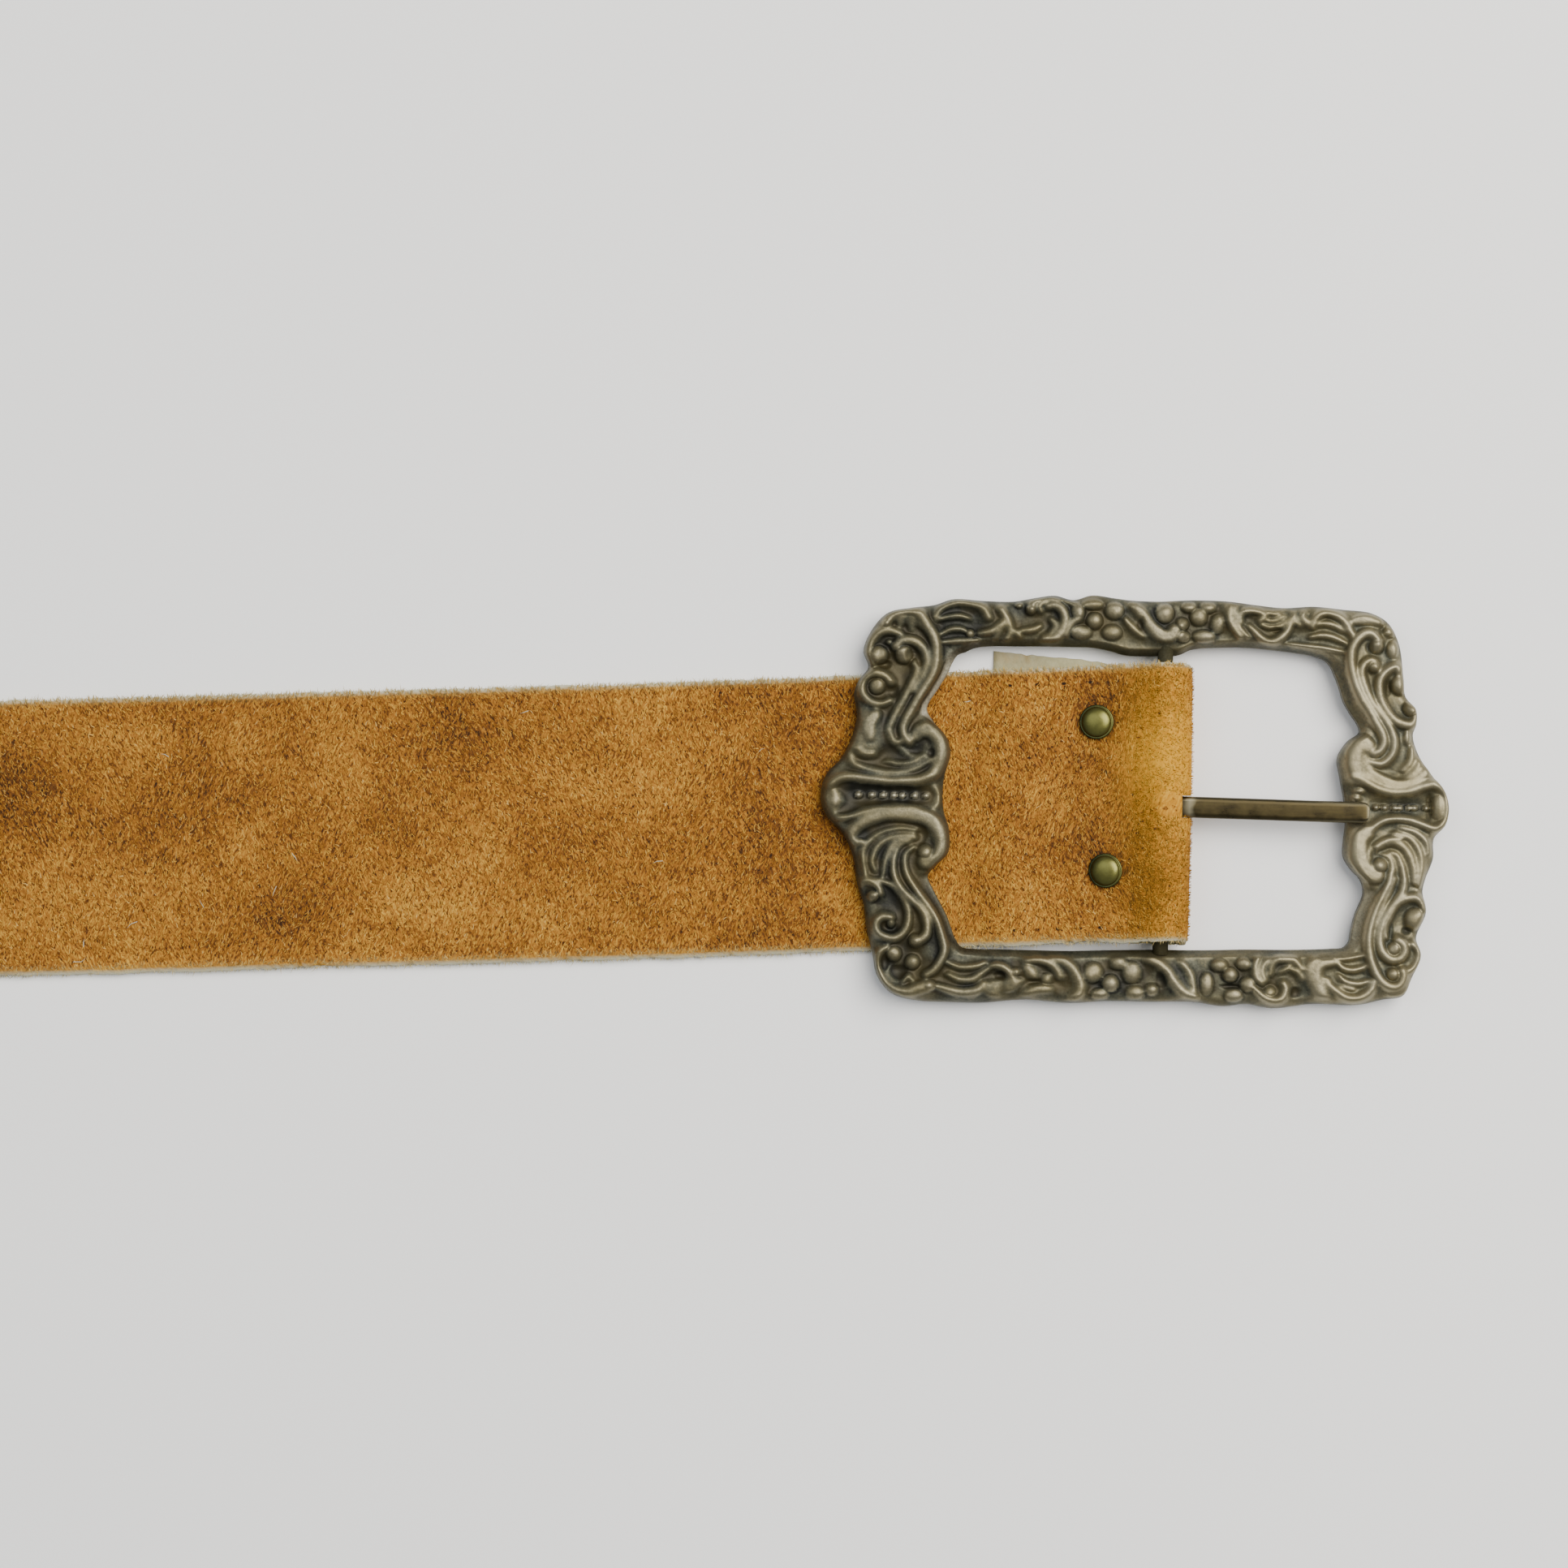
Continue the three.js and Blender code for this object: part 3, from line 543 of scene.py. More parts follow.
def suede_material():
    """Tan split suede: its brushed face is a felt of short leaning fibres, light at their tips and dark
    between them, in patches where the nap lies another way. The back is smooth, pale and drier."""
    material, tree = new_material("brushed_tan_suede")
    lie = value_of(tree, "lie", "Vector")
    lean_left = strokes(tree, lie, 112, 1.2, 0.3)
    lean_right = strokes(tree, lie, 62, 1.1, 0.28)
    swap = window(tree, noise(tree, lie, 170, 1.0), 0.42, 0.58)
    leans = {0: swap, 2: lean_left, 3: lean_right}
    felt = add(tree, "ShaderNodeMix", leans, data_type="FLOAT").outputs[0]
    specks = noise(tree, lie, 2600, 2.0, 0.6)
    pits = window(tree, noise(tree, lie, 1500, 1.0), 0.66, 0.74, 0.0, 0.12)
    # Darker patches, and painted shade round the rivets
    patch_darkness_and_shade = sums(tree, "MULTIPLY", value_of(tree, "dark"), 0.11)
    level = sums(tree, "ADD", sums(tree, "MULTIPLY", felt, 0.75), sums(tree, "MULTIPLY", specks, 0.25))
    level = sums(tree, "SUBTRACT", sums(tree, "SUBTRACT", level, patch_darkness_and_shade), pits)
    level = sums(tree, "ADD", level, sums(tree, "MULTIPLY", value_of(tree, "worn"), 0.08))
    shades = [(0.3, "#2c1b0c"), (0.4, "#633c15"), (0.48, "#8b591d"), (0.57, "#a3712b"), (0.7, "#c89b3c")]
    beside_pits = sums(tree, "SUBTRACT", 0.6, sums(tree, "MULTIPLY", pits, 4.5))
    bare = sums(tree, "MULTIPLY", value_of(tree, "worn"), beside_pits)
    face = mix(tree, bare, shaded(tree, level, shades), linear("#c78d10"))
    face = mix(tree, sums(tree, "MULTIPLY", value_of(tree, "edge"), 0.6), face, linear("#a98f46"))
    face = mix(tree, value_of(tree, "raw"), face, linear("#b5b29a"))
    # The needle holes are not cut: their dark is painted shade inside them
    for line, pitch, shift in ((19.7, 4.35, 1.1), (-19.9, 3.5, 0.3)):
        face = mix(tree, pricked(tree, lie, line, pitch, shift), face, linear("#24170c"))
    grain = noise(tree, lie, 900, 3.0, 0.6)
    pale = mix(tree, window(tree, grain, 0.35, 0.65), linear("#96906d"), linear("#a49e7b"))
    colour = mix(tree, value_of(tree, "back"), face, pale)
    return surfaced(material, tree, {
        "Base Color": colour,
        "Roughness": 0.93,
        "Specular IOR Level": 0.2,
        "Sheen Weight": 0.05,
        "Sheen Roughness": 0.45,
        "Sheen Tint": linear("#e8b45c"),
        "Normal": bumped(tree, level, 0.55, 0.00025),
    })


strap.data.materials.clear()
strap.data.materials.append(suede_material())
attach(strap, "strap")
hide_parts("strap")


# Nap and frayed edges
# Loose collagen fibres of the suede: short leaning ones that brushing has raised on its face, fuzz on
# the bare fold, paler ones torn out along the cut edges, and a few long hairs across the nap.
def fibres(name, rng, distance, across, base, angle, length, breadth, rise, tone):
    """Many thin fibres as one mesh. Each starts on the strap at its distance, across and height, and
    runs along the suede at its angle from the strap's own direction, bowed a little, while it rises."""
    steps = np.array([0.0, 0.55, 1.0])[None, :]
    bow = rng.normal(0, 0.35, len(distance))[:, None]
    run = angle[:, None] + bow * (steps - 0.5)
    s = distance[:, None] - length[:, None] * steps * np.cos(run)
    w = across[:, None] + length[:, None] * steps * np.sin(run)
    h = base[:, None] + rise[:, None] * np.sin(steps * 1.9)
    side = breadth[:, None] / 2 * np.array([1.0, 0.85, 0.0])[None, :]
    off_s, off_w = side * np.sin(run), side * np.cos(run)
    one = strap_places(s + off_s, w + off_w, h)
    two = strap_places(s - off_s, w - off_w, h)
    corners = np.stack([one[:, 0], two[:, 0], one[:, 1], two[:, 1], one[:, 2]], axis=1)
    corners[..., 2] = np.maximum(corners[..., 2], 0.02)
    per_fibre = corners.shape[1]
    first = per_fibre * np.arange(len(distance))[:, None]
    quads = (first + np.array([[0, 1, 3, 2]])).tolist()
    tips = (first + np.array([[2, 3, 4]])).tolist()
    mesh = bpy.data.meshes.new(name)
    mesh.from_pydata(to_row(corners.reshape(-1, 3)).tolist(), [], quads + tips)
    piece = put(name, mesh)
    half = np.interp(distance, stops, half_width)
    edge = np.clip(1.2 - (half - np.abs(across)) / EDGE_WEAR, 0, 1)
    mark(piece, "tone", np.repeat(tone, per_fibre))
    mark(piece, "dark", np.repeat(patches_and_painted_shade(distance, across), per_fibre))
    mark(piece, "worn", np.repeat(fold_worn(distance, across), per_fibre))
    mark(piece, "edge", np.repeat(edge, per_fibre))
    return piece


def nap(name, seed, start, end, number, lengths=(0.4, 1.15), rises=(0.06, 0.24)):
    """Fibres of the brushed face between two distances along the strap."""
    rng = np.random.default_rng(seed)
    distance = rng.uniform(start, end, number)
    half = np.interp(distance, stops, half_width)
    across = rng.uniform(-1, 1, number) * (half - 0.15)
    spot = strap_places(distance, across, np.zeros(number) + STRAP_THICK / 2)
    clear = np.ones(number, bool)
    for _, x, y, _, _ in RIVETS:
        clear &= np.hypot(spot[:, 0] - x, spot[:, 1] - y) > RIVET_RADIUS + 0.1
    for hole_at in HOLES_AT:
        clear &= np.hypot(distance - hole_at, across) > HOLE_ROUND / 2 + 0.2
    in_slot = (np.abs(spot[:, 1] - PRONG_Y) < SLOT_WIDE / 2 + 0.05) & (spot[:, 0] > BAR_X - 1.2)
    kept = rng.uniform(0, 1, number) > 0.35 * fold_worn(distance, across)
    clear &= ~in_slot & kept
    distance, across = distance[clear], across[clear]
    number = len(distance)
    lean = 95 + 30 * grid_noise(41, distance, across, 16) + rng.normal(0, 28, number)
    length = rng.uniform(*lengths, number)
    base = face_height(distance, across) - 0.04
    rise = rng.uniform(*rises, number)
    breadth = rng.uniform(0.1, 0.19, number)
    tone = rng.uniform(0, 1, number)
    return fibres(name, rng, distance, across, base, np.radians(lean), length, breadth, rise, tone)


def frayed(name, seed, number):
    """Fibres torn out along both cut edges."""
    rng = np.random.default_rng(seed)
    distance = rng.uniform(crest_at - 7, STRAP_END - 2, number)
    side = rng.choice([-1.0, 1.0], number)
    half = np.interp(distance, stops, half_width)
    across = side * (half - rng.uniform(0.0, 0.25, number))
    base = rng.uniform(-0.75, 0.85, number) * STRAP_THICK / 2
    angle = np.radians(90 * side + rng.normal(0, 38, number))
    length = rng.gamma(4.0, 0.11, number) + 0.15
    rise = rng.normal(0.0, 0.12, number)
    breadth = rng.uniform(0.06, 0.12, number)
    tone = rng.uniform(0.9, 1.6, number)
    return fibres(name, rng, distance, across, base, angle, length, breadth, rise, tone)


def hairs(name, seed, start, end, number):
    """A few long undyed hairs that lie across the nap."""
    rng = np.random.default_rng(seed)
    distance = rng.uniform(start, end, number)
    across = rng.uniform(-0.93, 0.93, number) * STRAP_WIDE / 2
    base = face_height(distance, across) + 0.12
    angle = rng.uniform(0, 2 * math.pi, number)
    length = rng.uniform(1.1, 2.4, number)
    breadth = rng.uniform(0.09, 0.15, number)
    rise = rng.uniform(0.05, 0.15, number)
    tone = rng.uniform(1.2, 1.6, number)
    return fibres(name, rng, distance, across, base, angle, length, breadth, rise, tone)


def fibre_material():
    """Loose fibres of the same suede: dyed tan at the root, bleached to gold or straw at the tip by
    handling, and undyed grey-buff where the cut edge has frayed. They are matt and a little sheer."""
    material, tree = new_material("loose_tan_fibres")
    shades = [(0.0, "#38200e"), (0.15, "#704418"), (0.35, "#9f6c26"), (0.57, "#cb9c40"), (0.7, "#b9b59b")]
    dyed = shaded(tree, sums(tree, "MULTIPLY", value_of(tree, "tone"), 0.6), shades)
    shade_here = window(tree, value_of(tree, "dark"), -0.3, 1.2, 0.0, 0.45)
    colour = mix(tree, shade_here, dyed, linear("#673b12"))
    colour = mix(tree, sums(tree, "MULTIPLY", value_of(tree, "edge"), 0.6), colour, linear("#b0a26b"))
    colour = mix(tree, sums(tree, "MULTIPLY", value_of(tree, "worn"), 0.6), colour, linear("#d2a028"))
    return surfaced(material, tree, {
        "Base Color": colour,
        "Roughness": 0.9,
        "Specular IOR Level": 0.15,
    })


loose = fibre_material()
extras = [
    nap("nap_by_the_buckle", 71, crest_at - 3, crest_at + 90, 32000),
    nap("nap_of_the_near_strap", 72, crest_at + 90, crest_at + 195, 36000),
    nap("nap_of_the_far_strap", 73, crest_at + 195, STRAP_END - 8, 60000),
    nap("fuzz_of_the_fold", 76, crest_at - 7, crest_at + 5, 5000, (0.1, 0.4), (0.2, 0.5)),
    frayed("frayed_edges", 74, 16000),
    hairs("stray_hairs", 75, crest_at + 30, STRAP_END - 20, 90),
]
for extra in extras:
    extra.data.materials.append(loose)
    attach(extra, "strap")


# Rivets
# Two domed brass studs close the fold. Each was set with a hammer, so its rim is sunk in the suede,
# and the lower one sits a little tilted. A post joins it to a flat cap let into the back.
def spun(name, profile, place, steps=64):
    """A body turned from a profile of radius and height in millimetres, moved to its place."""
    bm = bmesh.new()
    ring = [bm.verts.new((radius, 0, z)) for radius, z in profile]
    edges = [bm.edges.new(pair) for pair in zip(ring, ring[1:])]
    bmesh.ops.spin(
        bm,
        geom=ring + edges,
        cent=(0, 0, 0),
        axis=(0, 0, 1),
        angle=2 * math.pi,
        steps=steps,
        use_merge=True,
    )
    bmesh.ops.remove_doubles(bm, verts=bm.verts, dist=1e-4)
    bmesh.ops.recalc_face_normals(bm, faces=bm.faces)
    bmesh.ops.transform(bm, matrix=from_plan @ place, verts=bm.verts)
    return add_piece(name, bm)


RIVET_PROFILE = [
    # radius and height over the middle of the upper layer: the cap, the post, the rolled rim
    (0, -2.8), (2.5, -2.8), (2.6, -2.7), (2.6, -2.3), (2.5, -2.2),
    (1.1, -2.2), (1.1, 0.9),
    (2.45, 0.9), (2.72, 1.0), (RIVET_RADIUS, 1.12), (2.78, 1.27), (2.68, 1.37), (2.55, 1.38), (2.46, 1.33),
]
for turn in np.linspace(0.05, math.pi / 2, 16):
    RIVET_PROFILE.append((2.42 * math.cos(turn) ** 0.9, 1.34 + 0.98 * math.sin(turn)))


def rivet_material():
    """Olive brass of the rivets: domed by the setting punch and handled smooth, gone green and dark at
    the rim where it was never rubbed, with a fine cloudy tarnish."""
    material, tree = new_material("tarnished_rivet_brass")
    spot = add(tree, "ShaderNodeTexCoord").outputs["Object"]
    rub = value_of(tree, "rub")
    cloud = noise(tree, spot, 900, 4.0, 0.6)
    level = sums(tree, "ADD", sums(tree, "MULTIPLY", rub, 0.8), sums(tree, "MULTIPLY", cloud, 0.4))
    worn = window(tree, level, 0.2, 1.0)
    return surfaced(material, tree, {
        "Base Color": mix(tree, worn, linear("#1c2716"), linear("#6b6936")),
        "Metallic": 0.85,
        "Roughness": window(tree, cloud, 0.3, 0.7, 0.3, 0.4),
        "Normal": bumped(tree, noise(tree, spot, 2600, 3.0), 0.12, 0.00005),
    })


rivet_brass = rivet_material()
under_x, under_z, under_heading = side_view(np.linspace(crest_at, crest_at + 60, 3000))
for name, x, y, tilt, tilt_turn in RIVETS:
    nearest = int(np.argmin(np.abs(under_x - x)))
    slope = under_heading[nearest] - math.pi
    tilt_way = math.radians(tilt_turn)
    tilt_axis = Vector((math.cos(tilt_way), math.sin(tilt_way), 0))
    place = Matrix.Translation(Vector((under_x[nearest], y, under_z[nearest])))
    place = place @ Matrix.Rotation(-slope, 4, "Y")
    place = place @ Matrix.Rotation(math.radians(tilt), 4, tilt_axis)
    rivet = spun(name + "_stud", RIVET_PROFILE, place)
    middle = (from_plan @ place).translation
    off = np.array([(corner.co.xy - middle.xy).length / MM for corner in rivet.data.vertices])
    mark(rivet, "rub", np.clip(1.15 - (off / RIVET_RADIUS) ** 3, 0, 1))
    rivet.data.materials.append(rivet_brass)
    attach(rivet, "strap")
    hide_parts(name)


# Buckle frame
# One casting in brass: a rounded frame with a scalloped edge, covered with scrolls, leaves and
# flowers, and a round centre bar. It was antiqued dark and then rubbed bright on its high places.
OUTLINES = [
    # outer x, outer y, inner x, inner y, clockwise from the top left
    (-33.1, 31.4, -28.0, 23.8), (-30.0, 32.4, -26.5, 24.5), (-25.0, 32.2, -23.5, 24.9),
    (-20.1, 32.2, -19.5, 24.95), (-16.9, 32.8, -16.5, 25.0), (-13.6, 33.25, -13.4, 25.0),
    (-10.6, 32.6, -10.5, 25.0), (-7.6, 33.4, -7.4, 24.95), (-3.9, 33.0, -4.3, 24.4),
    (-1.3, 32.7, -2.0, 23.8), (3.3, 32.6, 3.3, 23.75), (6.6, 32.8, 6.4, 23.9),
    (9.2, 32.9, 8.8, 24.9), (14.5, 32.8, 13.5, 25.3), (18.8, 32.3, 17.5, 25.35),
    (23.4, 31.9, 21.5, 25.05), (28.3, 32.2, 25.3, 24.65), (33.0, 31.8, 28.2, 24.2),
    (37.6, 31.3, 30.2, 23.5), (40.4, 29.7, 31.1, 22.6), (42.2, 26.3, 31.8, 21.2),
    (43.0, 21.0, 32.6, 19.2), (43.4, 17.9, 33.4, 16.8), (45.1, 15.8, 34.6, 14.8),
    (45.2, 13.4, 35.7, 13.2), (44.7, 11.6, 36.0, 11.9), (45.7, 8.4, 34.2, 10.5),
    (48.0, 5.1, 32.6, 7.8), (49.9, 2.8, 33.0, 4.8), (50.7, 0.0, 33.7, 1.2),
    (50.2, -2.8, 34.1, -2.4), (48.4, -5.0, 33.8, -5.6), (48.3, -8.2, 33.8, -8.2),
    (47.1, -11.6, 35.1, -10.3), (46.7, -13.6, 36.6, -11.9), (47.3, -17.0, 37.1, -14.0),
    (45.8, -21.1, 35.8, -17.6), (46.6, -24.0, 35.2, -20.2), (45.2, -27.6, 34.9, -21.9),
    (43.8, -30.5, 34.0, -22.9), (40.5, -31.2, 32.2, -23.1), (36.5, -32.1, 29.6, -23.25),
    (29.0, -32.1, 25.5, -23.4), (22.7, -32.9, 21.5, -23.45), (18.4, -32.3, 17.5, -23.5),
    (14.6, -32.7, 13.5, -23.65), (9.9, -32.1, 9.5, -23.75), (2.4, -32.2, 3.0, -23.8),
    (-4.0, -32.2, -4.0, -24.0), (-10.2, -32.6, -10.0, -24.2), (-17.5, -32.2, -16.5, -24.2),
    (-24.2, -32.8, -22.0, -24.15), (-29.8, -32.8, -25.4, -24.15), (-35.0, -32.6, -27.6, -23.9),
    (-39.0, -31.5, -28.7, -22.7), (-41.3, -28.8, -29.4, -21.0), (-42.2, -24.8, -30.2, -18.9),
    (-43.2, -20.8, -31.2, -17.0), (-43.7, -17.2, -32.6, -14.4), (-44.8, -13.8, -33.4, -12.4),
    (-45.5, -9.6, -32.2, -10.8), (-47.2, -5.9, -30.2, -8.6), (-50.0, -2.9, -30.1, -5.0),
    (-50.95, 0.0, -31.1, -1.5), (-50.1, 3.7, -31.1, 3.2), (-47.7, 6.4, -30.1, 7.4),
    (-46.1, 9.7, -30.8, 10.1), (-45.3, 13.2, -32.9, 12.5), (-45.8, 17.0, -34.0, 14.6),
    (-45.0, 19.2, -32.2, 17.9), (-43.6, 21.1, -30.8, 20.3), (-44.4, 23.8, -30.1, 21.9),
    (-43.2, 27.1, -29.4, 23.1), (-40.6, 30.0, -28.9, 23.5), (-36.8, 30.9, -28.4, 23.7),
]
BACK_Z = STRAP_THICK + 0.6
OUTER_EDGE = 1.1
INNER_EDGE = 1.2
CROWN = 2.75
BAR_RADIUS = 1.25
BAR_LENGTH = 50
STEPS_ALONG = 17
FACE_STEPS = 56
BACK_STEPS = 3
WALL_LIFTS = [0.94, 0.7, 0.4, 0.15, 0.0]

# Raised bands of the ornament
RIDGES = [
    # half width, rise, width at its start and at its end as a share, places that it runs through
    # left bar, upper half
    (1.0, 1.5, 1.0, 0.8, "-40.9,28.5 -40,29.7 -38.5,30.3 -37,30.4 -35.8,30 -34.9,28.9 -34.2,27.8"
     " -33.3,26.4 -32.8,24.8 -32.7,23.2 -32.8,21.8 -33.3,20.2 -34.4,18.2 -35.6,16.2 -36.6,14.3"
     " -37.5,12.7 -37.9,11.3 -37.6,10 -36.9,9.2"),
    (0.95, 1.0, 1.2, 0.5, "-38.4,29.2 -38.7,27.7"),
    (0.95, 1.0, 1.2, 0.5, "-36.8,29 -36.8,27.3"),
    (0.95, 1.0, 1.2, 0.5, "-35,28.5 -33.8,26.8"),
    (0.95, 1.4, 0.7, 0.9, "-38.6,26.6 -40.4,27.1 -42.1,26.7 -43.4,25.3 -43.8,23.3 -43.3,21.8"),
    (0.95, 1.4, 1.0, 0.6, "-39.2,24.6 -38.4,25.4 -37.2,25.6 -35.9,25.2 -34.9,24.3 -34.4,23.2 -34.3,22"
     " -34.7,20.5 -35.4,19.2 -36.4,17.5"),
    (0.88, 1.2, 0.7, 0.7, "-36.4,22 -35.9,21 -36.1,19.8 -36.8,18.2 -37.8,16.2 -38.9,14.2 -39.7,12.5"
     " -40.1,11.3 -39.8,10 -39.2,9 -38.3,9.2"),
    (0.95, 1.3, 0.6, 0.8, "-40,15.8 -41.5,15.2 -43.3,15.6 -44.5,16.8 -44.8,18.2 -44.2,19.5 -42.8,20.2"
     " -41,19.8 -39.9,18.7"),
    (1.5, 0.9, 0.6, 0.6, "-42.2,13.6 -43.4,12 -43.2,10"),
    # left bar, middle
    (1.9, 1.5, 0.55, 0.5, "-35.8,10.3 -35,11 -33.5,11.2 -32,10 -31.4,8.3 -31.5,6.5 -32.3,4.8"
     " -33.5,3.6"),
    (0.88, 1.4, 1.1, 0.9, "-33.2,3.9 -35,3.1 -37.5,2.9 -40,2.8 -43,3.1 -46.5,3.4 -48.3,3 -49.6,2"),
    (0.8, 1.1, 0.6, 0.6, "-46.7,8.4 -46.5,6.8 -45.8,5.6 -44.5,5 -42.5,4.5 -40,4.2 -38,4.3 -36,4.8"
     " -34.5,5.6 -33,6.6"),
    (0.65, 0.7, 0.4, 0.6, "-40.6,11.6 -40.2,10.4 -39.1,8.9 -36.7,7 -33.9,6.8"),
    (0.72, 1.0, 0.5, 0.8, "-40.5,6 -38,5.6 -36,6 -34.5,7"),
    (0.65, 0.9, 0.8, 0.8, "-46.5,8.4 -45.2,7.8 -44.7,7.2 -43.5,6.9 -42.5,7"),
    (0.65, 1.0, 0.6, 0.6, "-49.4,1.2 -49.9,-0.2 -49.5,-1.2 -48.8,-2.5"),
    (0.65, 1.0, 0.6, 0.6, "-48,0.8 -47.6,-0.1 -47.9,-0.7 -48.6,-1.8"),
    (0.65, 1.1, 0.6, 0.6, "-32.5,2 -31.8,0.8 -31.9,-0.7 -32.5,-1.3"),
    (0.8, 1.3, 0.7, 0.7, "-48.3,-3.3 -46.5,-3.1 -44.5,-2.4 -42.5,-1.8 -40,-1.3 -37.5,-1.2 -35.2,-1.8"
     " -33.5,-2.9 -32,-4.4 -31.2,-6"),
    (1.55, 1.5, 0.9, 0.35, "-33.8,-10 -32.4,-10 -31.3,-8.4 -31.2,-6.4 -32.2,-4.3 -34.2,-2.9"
     " -37.5,-2.4 -40,-2.4 -42.5,-3.1 -44.5,-4.2 -45.8,-5.5 -46,-6.8 -45.2,-7.2 -44.3,-7"),
    (0.6, 1.1, 0.6, 0.6, "-35.3,-5.1 -38,-4.8 -40.8,-5.4 -42.9,-6.8 -44,-8.6 -43.9,-10.6 -43.5,-12.6"),
    (0.75, 1.2, 0.6, 0.5, "-35.7,-5.8 -38.4,-6 -40.6,-6.8 -41.9,-8.2 -42.5,-10.2 -42,-11.7"),
    (0.75, 1.2, 0.6, 0.5, "-35.3,-6.2 -37.6,-6.6 -39.2,-7.4 -40.1,-9 -40.6,-10.9 -40.7,-12.5"),
    # left bar, lower half
    (0.9, 1.5, 0.5, 0.8, "-35.8,-7.7 -37.1,-8.9 -37.2,-10.9 -36.5,-12.8 -34.9,-15.2 -33.1,-17.5"
     " -31.9,-19.4 -31.1,-21.8 -30.6,-24.1 -31.2,-26 -32.3,-27.5 -33.5,-28.3"),
    (0.8, 1.4, 0.5, 1.1, "-36.4,-6.8 -38,-7.5 -38.8,-8.9 -39.1,-10.9 -38.7,-12.9 -37.5,-14.8"
     " -35.9,-16.3 -34.3,-17.9 -33.5,-19.8 -33.6,-21.8 -35,-23"),
    (0.8, 1.2, 0.6, 0.8, "-44.4,-14 -43.9,-13.4 -42.8,-13.3 -41.5,-14.2 -41.1,-15.3"),
    (0.88, 1.3, 0.5, 0.8, "-42.5,-13.1 -41,-13.3 -39.3,-14 -38,-15.2 -37,-16.8 -36.5,-18.5"
     " -36.6,-20.2 -37.3,-21.6 -38.6,-22.5 -39.8,-22.4 -41.2,-21.8 -41.8,-20.8 -41.5,-19.6 -40.5,-19"
     " -39.3,-19.2"),
    (0.95, 1.3, 0.6, 1.2, "-39.8,-24 -41,-24.6 -41.6,-25.8 -41.5,-27.3 -40.9,-29 -40,-30.2 -38.3,-31"
     " -36.5,-31.2 -35,-30.6 -33.4,-30.1"),
    (0.65, 1.0, 0.5, 0.5, "-37.2,-29.6 -36.4,-28.6 -35.5,-29.4"),
    # top rail
    (0.95, 1.2, 0.6, 0.8, "-33,29.4 -32,31 -30,31.9 -28,32 -26,31.5 -25,30.6 -24.4,29.5"),
    (0.65, 1.0, 0.5, 0.6, "-33,28.8 -31,29.4 -29,29.6 -27.5,29.2"),
    (0.65, 1.0, 0.5, 0.6, "-32,26.6 -30.5,27.4 -29,27.5 -27.8,27.1"),
    (0.72, 0.9, 0.5, 0.5, "-32,25.3 -29,25.6 -26,25.7"),
    (0.88, 1.1, 0.5, 0.9, "-26,26.8 -24,27.2 -22.8,27.9 -22,28.6"),
    (0.65, 1.0, 0.5, 0.8, "-23.3,26 -22.6,27.2 -22,28.5"),
    (0.88, 1.1, 0.6, 0.8, "-21.5,25.8 -20.9,27 -21,28.3 -21.6,29.5 -22.5,31"),
    (0.72, 1.0, 0.8, 0.6, "-20,27.2 -19.2,26.4"),
    (0.8, 1.0, 0.6, 0.6, "-19,27.4 -17.2,27.6 -16,28.2"),
    (0.8, 1.2, 0.8, 0.6, "-17.3,31 -17.3,32 -16.2,32.7 -14.8,32.8 -13.2,32.4"),
    (0.65, 1.0, 0.6, 0.6, "-15.9,30.5 -16.2,31.3 -15.8,32 -15,32.3"),
    (1.05, 1.3, 0.6, 0.9, "-14.8,31.4 -13.8,31.6 -12.7,31 -12.1,29.8 -12.2,28.4 -12.9,27 -14,26.1"
     " -15.2,26"),
    (0.95, 1.1, 0.5, 0.6, "-14.3,29.3 -13.5,28.3 -14.2,27 -15.1,26.3"),
    (0.88, 1.1, 0.6, 0.8, "-12.3,32.7 -10.8,32 -9.8,31 -9.8,29.8 -10.8,29 -11.4,28 -11.8,27"),
    (1.2, 1.1, 0.7, 0.9, "-1,31.8 0.3,30.5 1.2,29.2 2.2,28 3.5,27 5,27 5.6,27.8"),
    (0.8, 1.0, 0.6, 0.6, "-2.3,29.5 -1,28 0.5,26.8"),
    (0.8, 1.1, 0.8, 0.6, "14.6,32.4 14.3,31 14.5,29.5 15.4,28 16.3,27"),
    (0.65, 1.0, 0.6, 0.6, "15.6,32.3 15.3,31 15.6,29.3 16.5,28 17.5,27"),
    (0.8, 1.1, 0.7, 0.8, "16.3,29.3 16.2,30.4 16.7,31.1 18,31.4 19.4,31.1 20,30.4 19.4,29.7"),
    (0.8, 1.0, 0.6, 0.6, "17.6,28.8 18.6,27.8 19.8,26.8 20.8,26.3"),
    (0.8, 1.0, 0.5, 0.5, "20.5,31.2 21.7,30.9 22.8,31.4"),
    (0.8, 1.0, 0.5, 0.5, "20.5,29.6 22,29.8 23.3,30.6"),
    (0.72, 1.0, 0.5, 0.5, "19.5,29 21.3,28.6 22.8,29 23.5,29.8"),
    (0.95, 1.2, 0.6, 0.6, "20,26.5 21.5,26.3 23,27.2 24,28.5 24.2,30"),
    (0.8, 1.0, 0.5, 0.5, "24.7,31.3 24.9,30 25.8,28.9"),
    (0.72, 1.0, 0.6, 1.0, "26.5,31.4 26.2,30.4 26.8,29.5"),
    (0.95, 1.3, 0.7, 0.7, "27.8,28.9 28.3,30.2 29.5,31.2 31,31.1 32.4,30.3 33.3,29.3 33.9,28.2"
     " 34.3,27.5"),
    (0.72, 1.0, 0.6, 0.6, "28.3,29.2 30,29.4 31.5,29 32.8,28.2"),
    (0.72, 1.0, 0.6, 0.6, "27.5,27.2 29.5,27.5 31.5,27.1 33.2,26.3"),
    (0.65, 0.9, 0.5, 0.5, "24,26 27,25.7 30,25.4 33.3,24.8"),
    (1.2, 1.1, 0.6, 0.6, "34.5,29.9 36.5,30.2 38.5,29.9"),
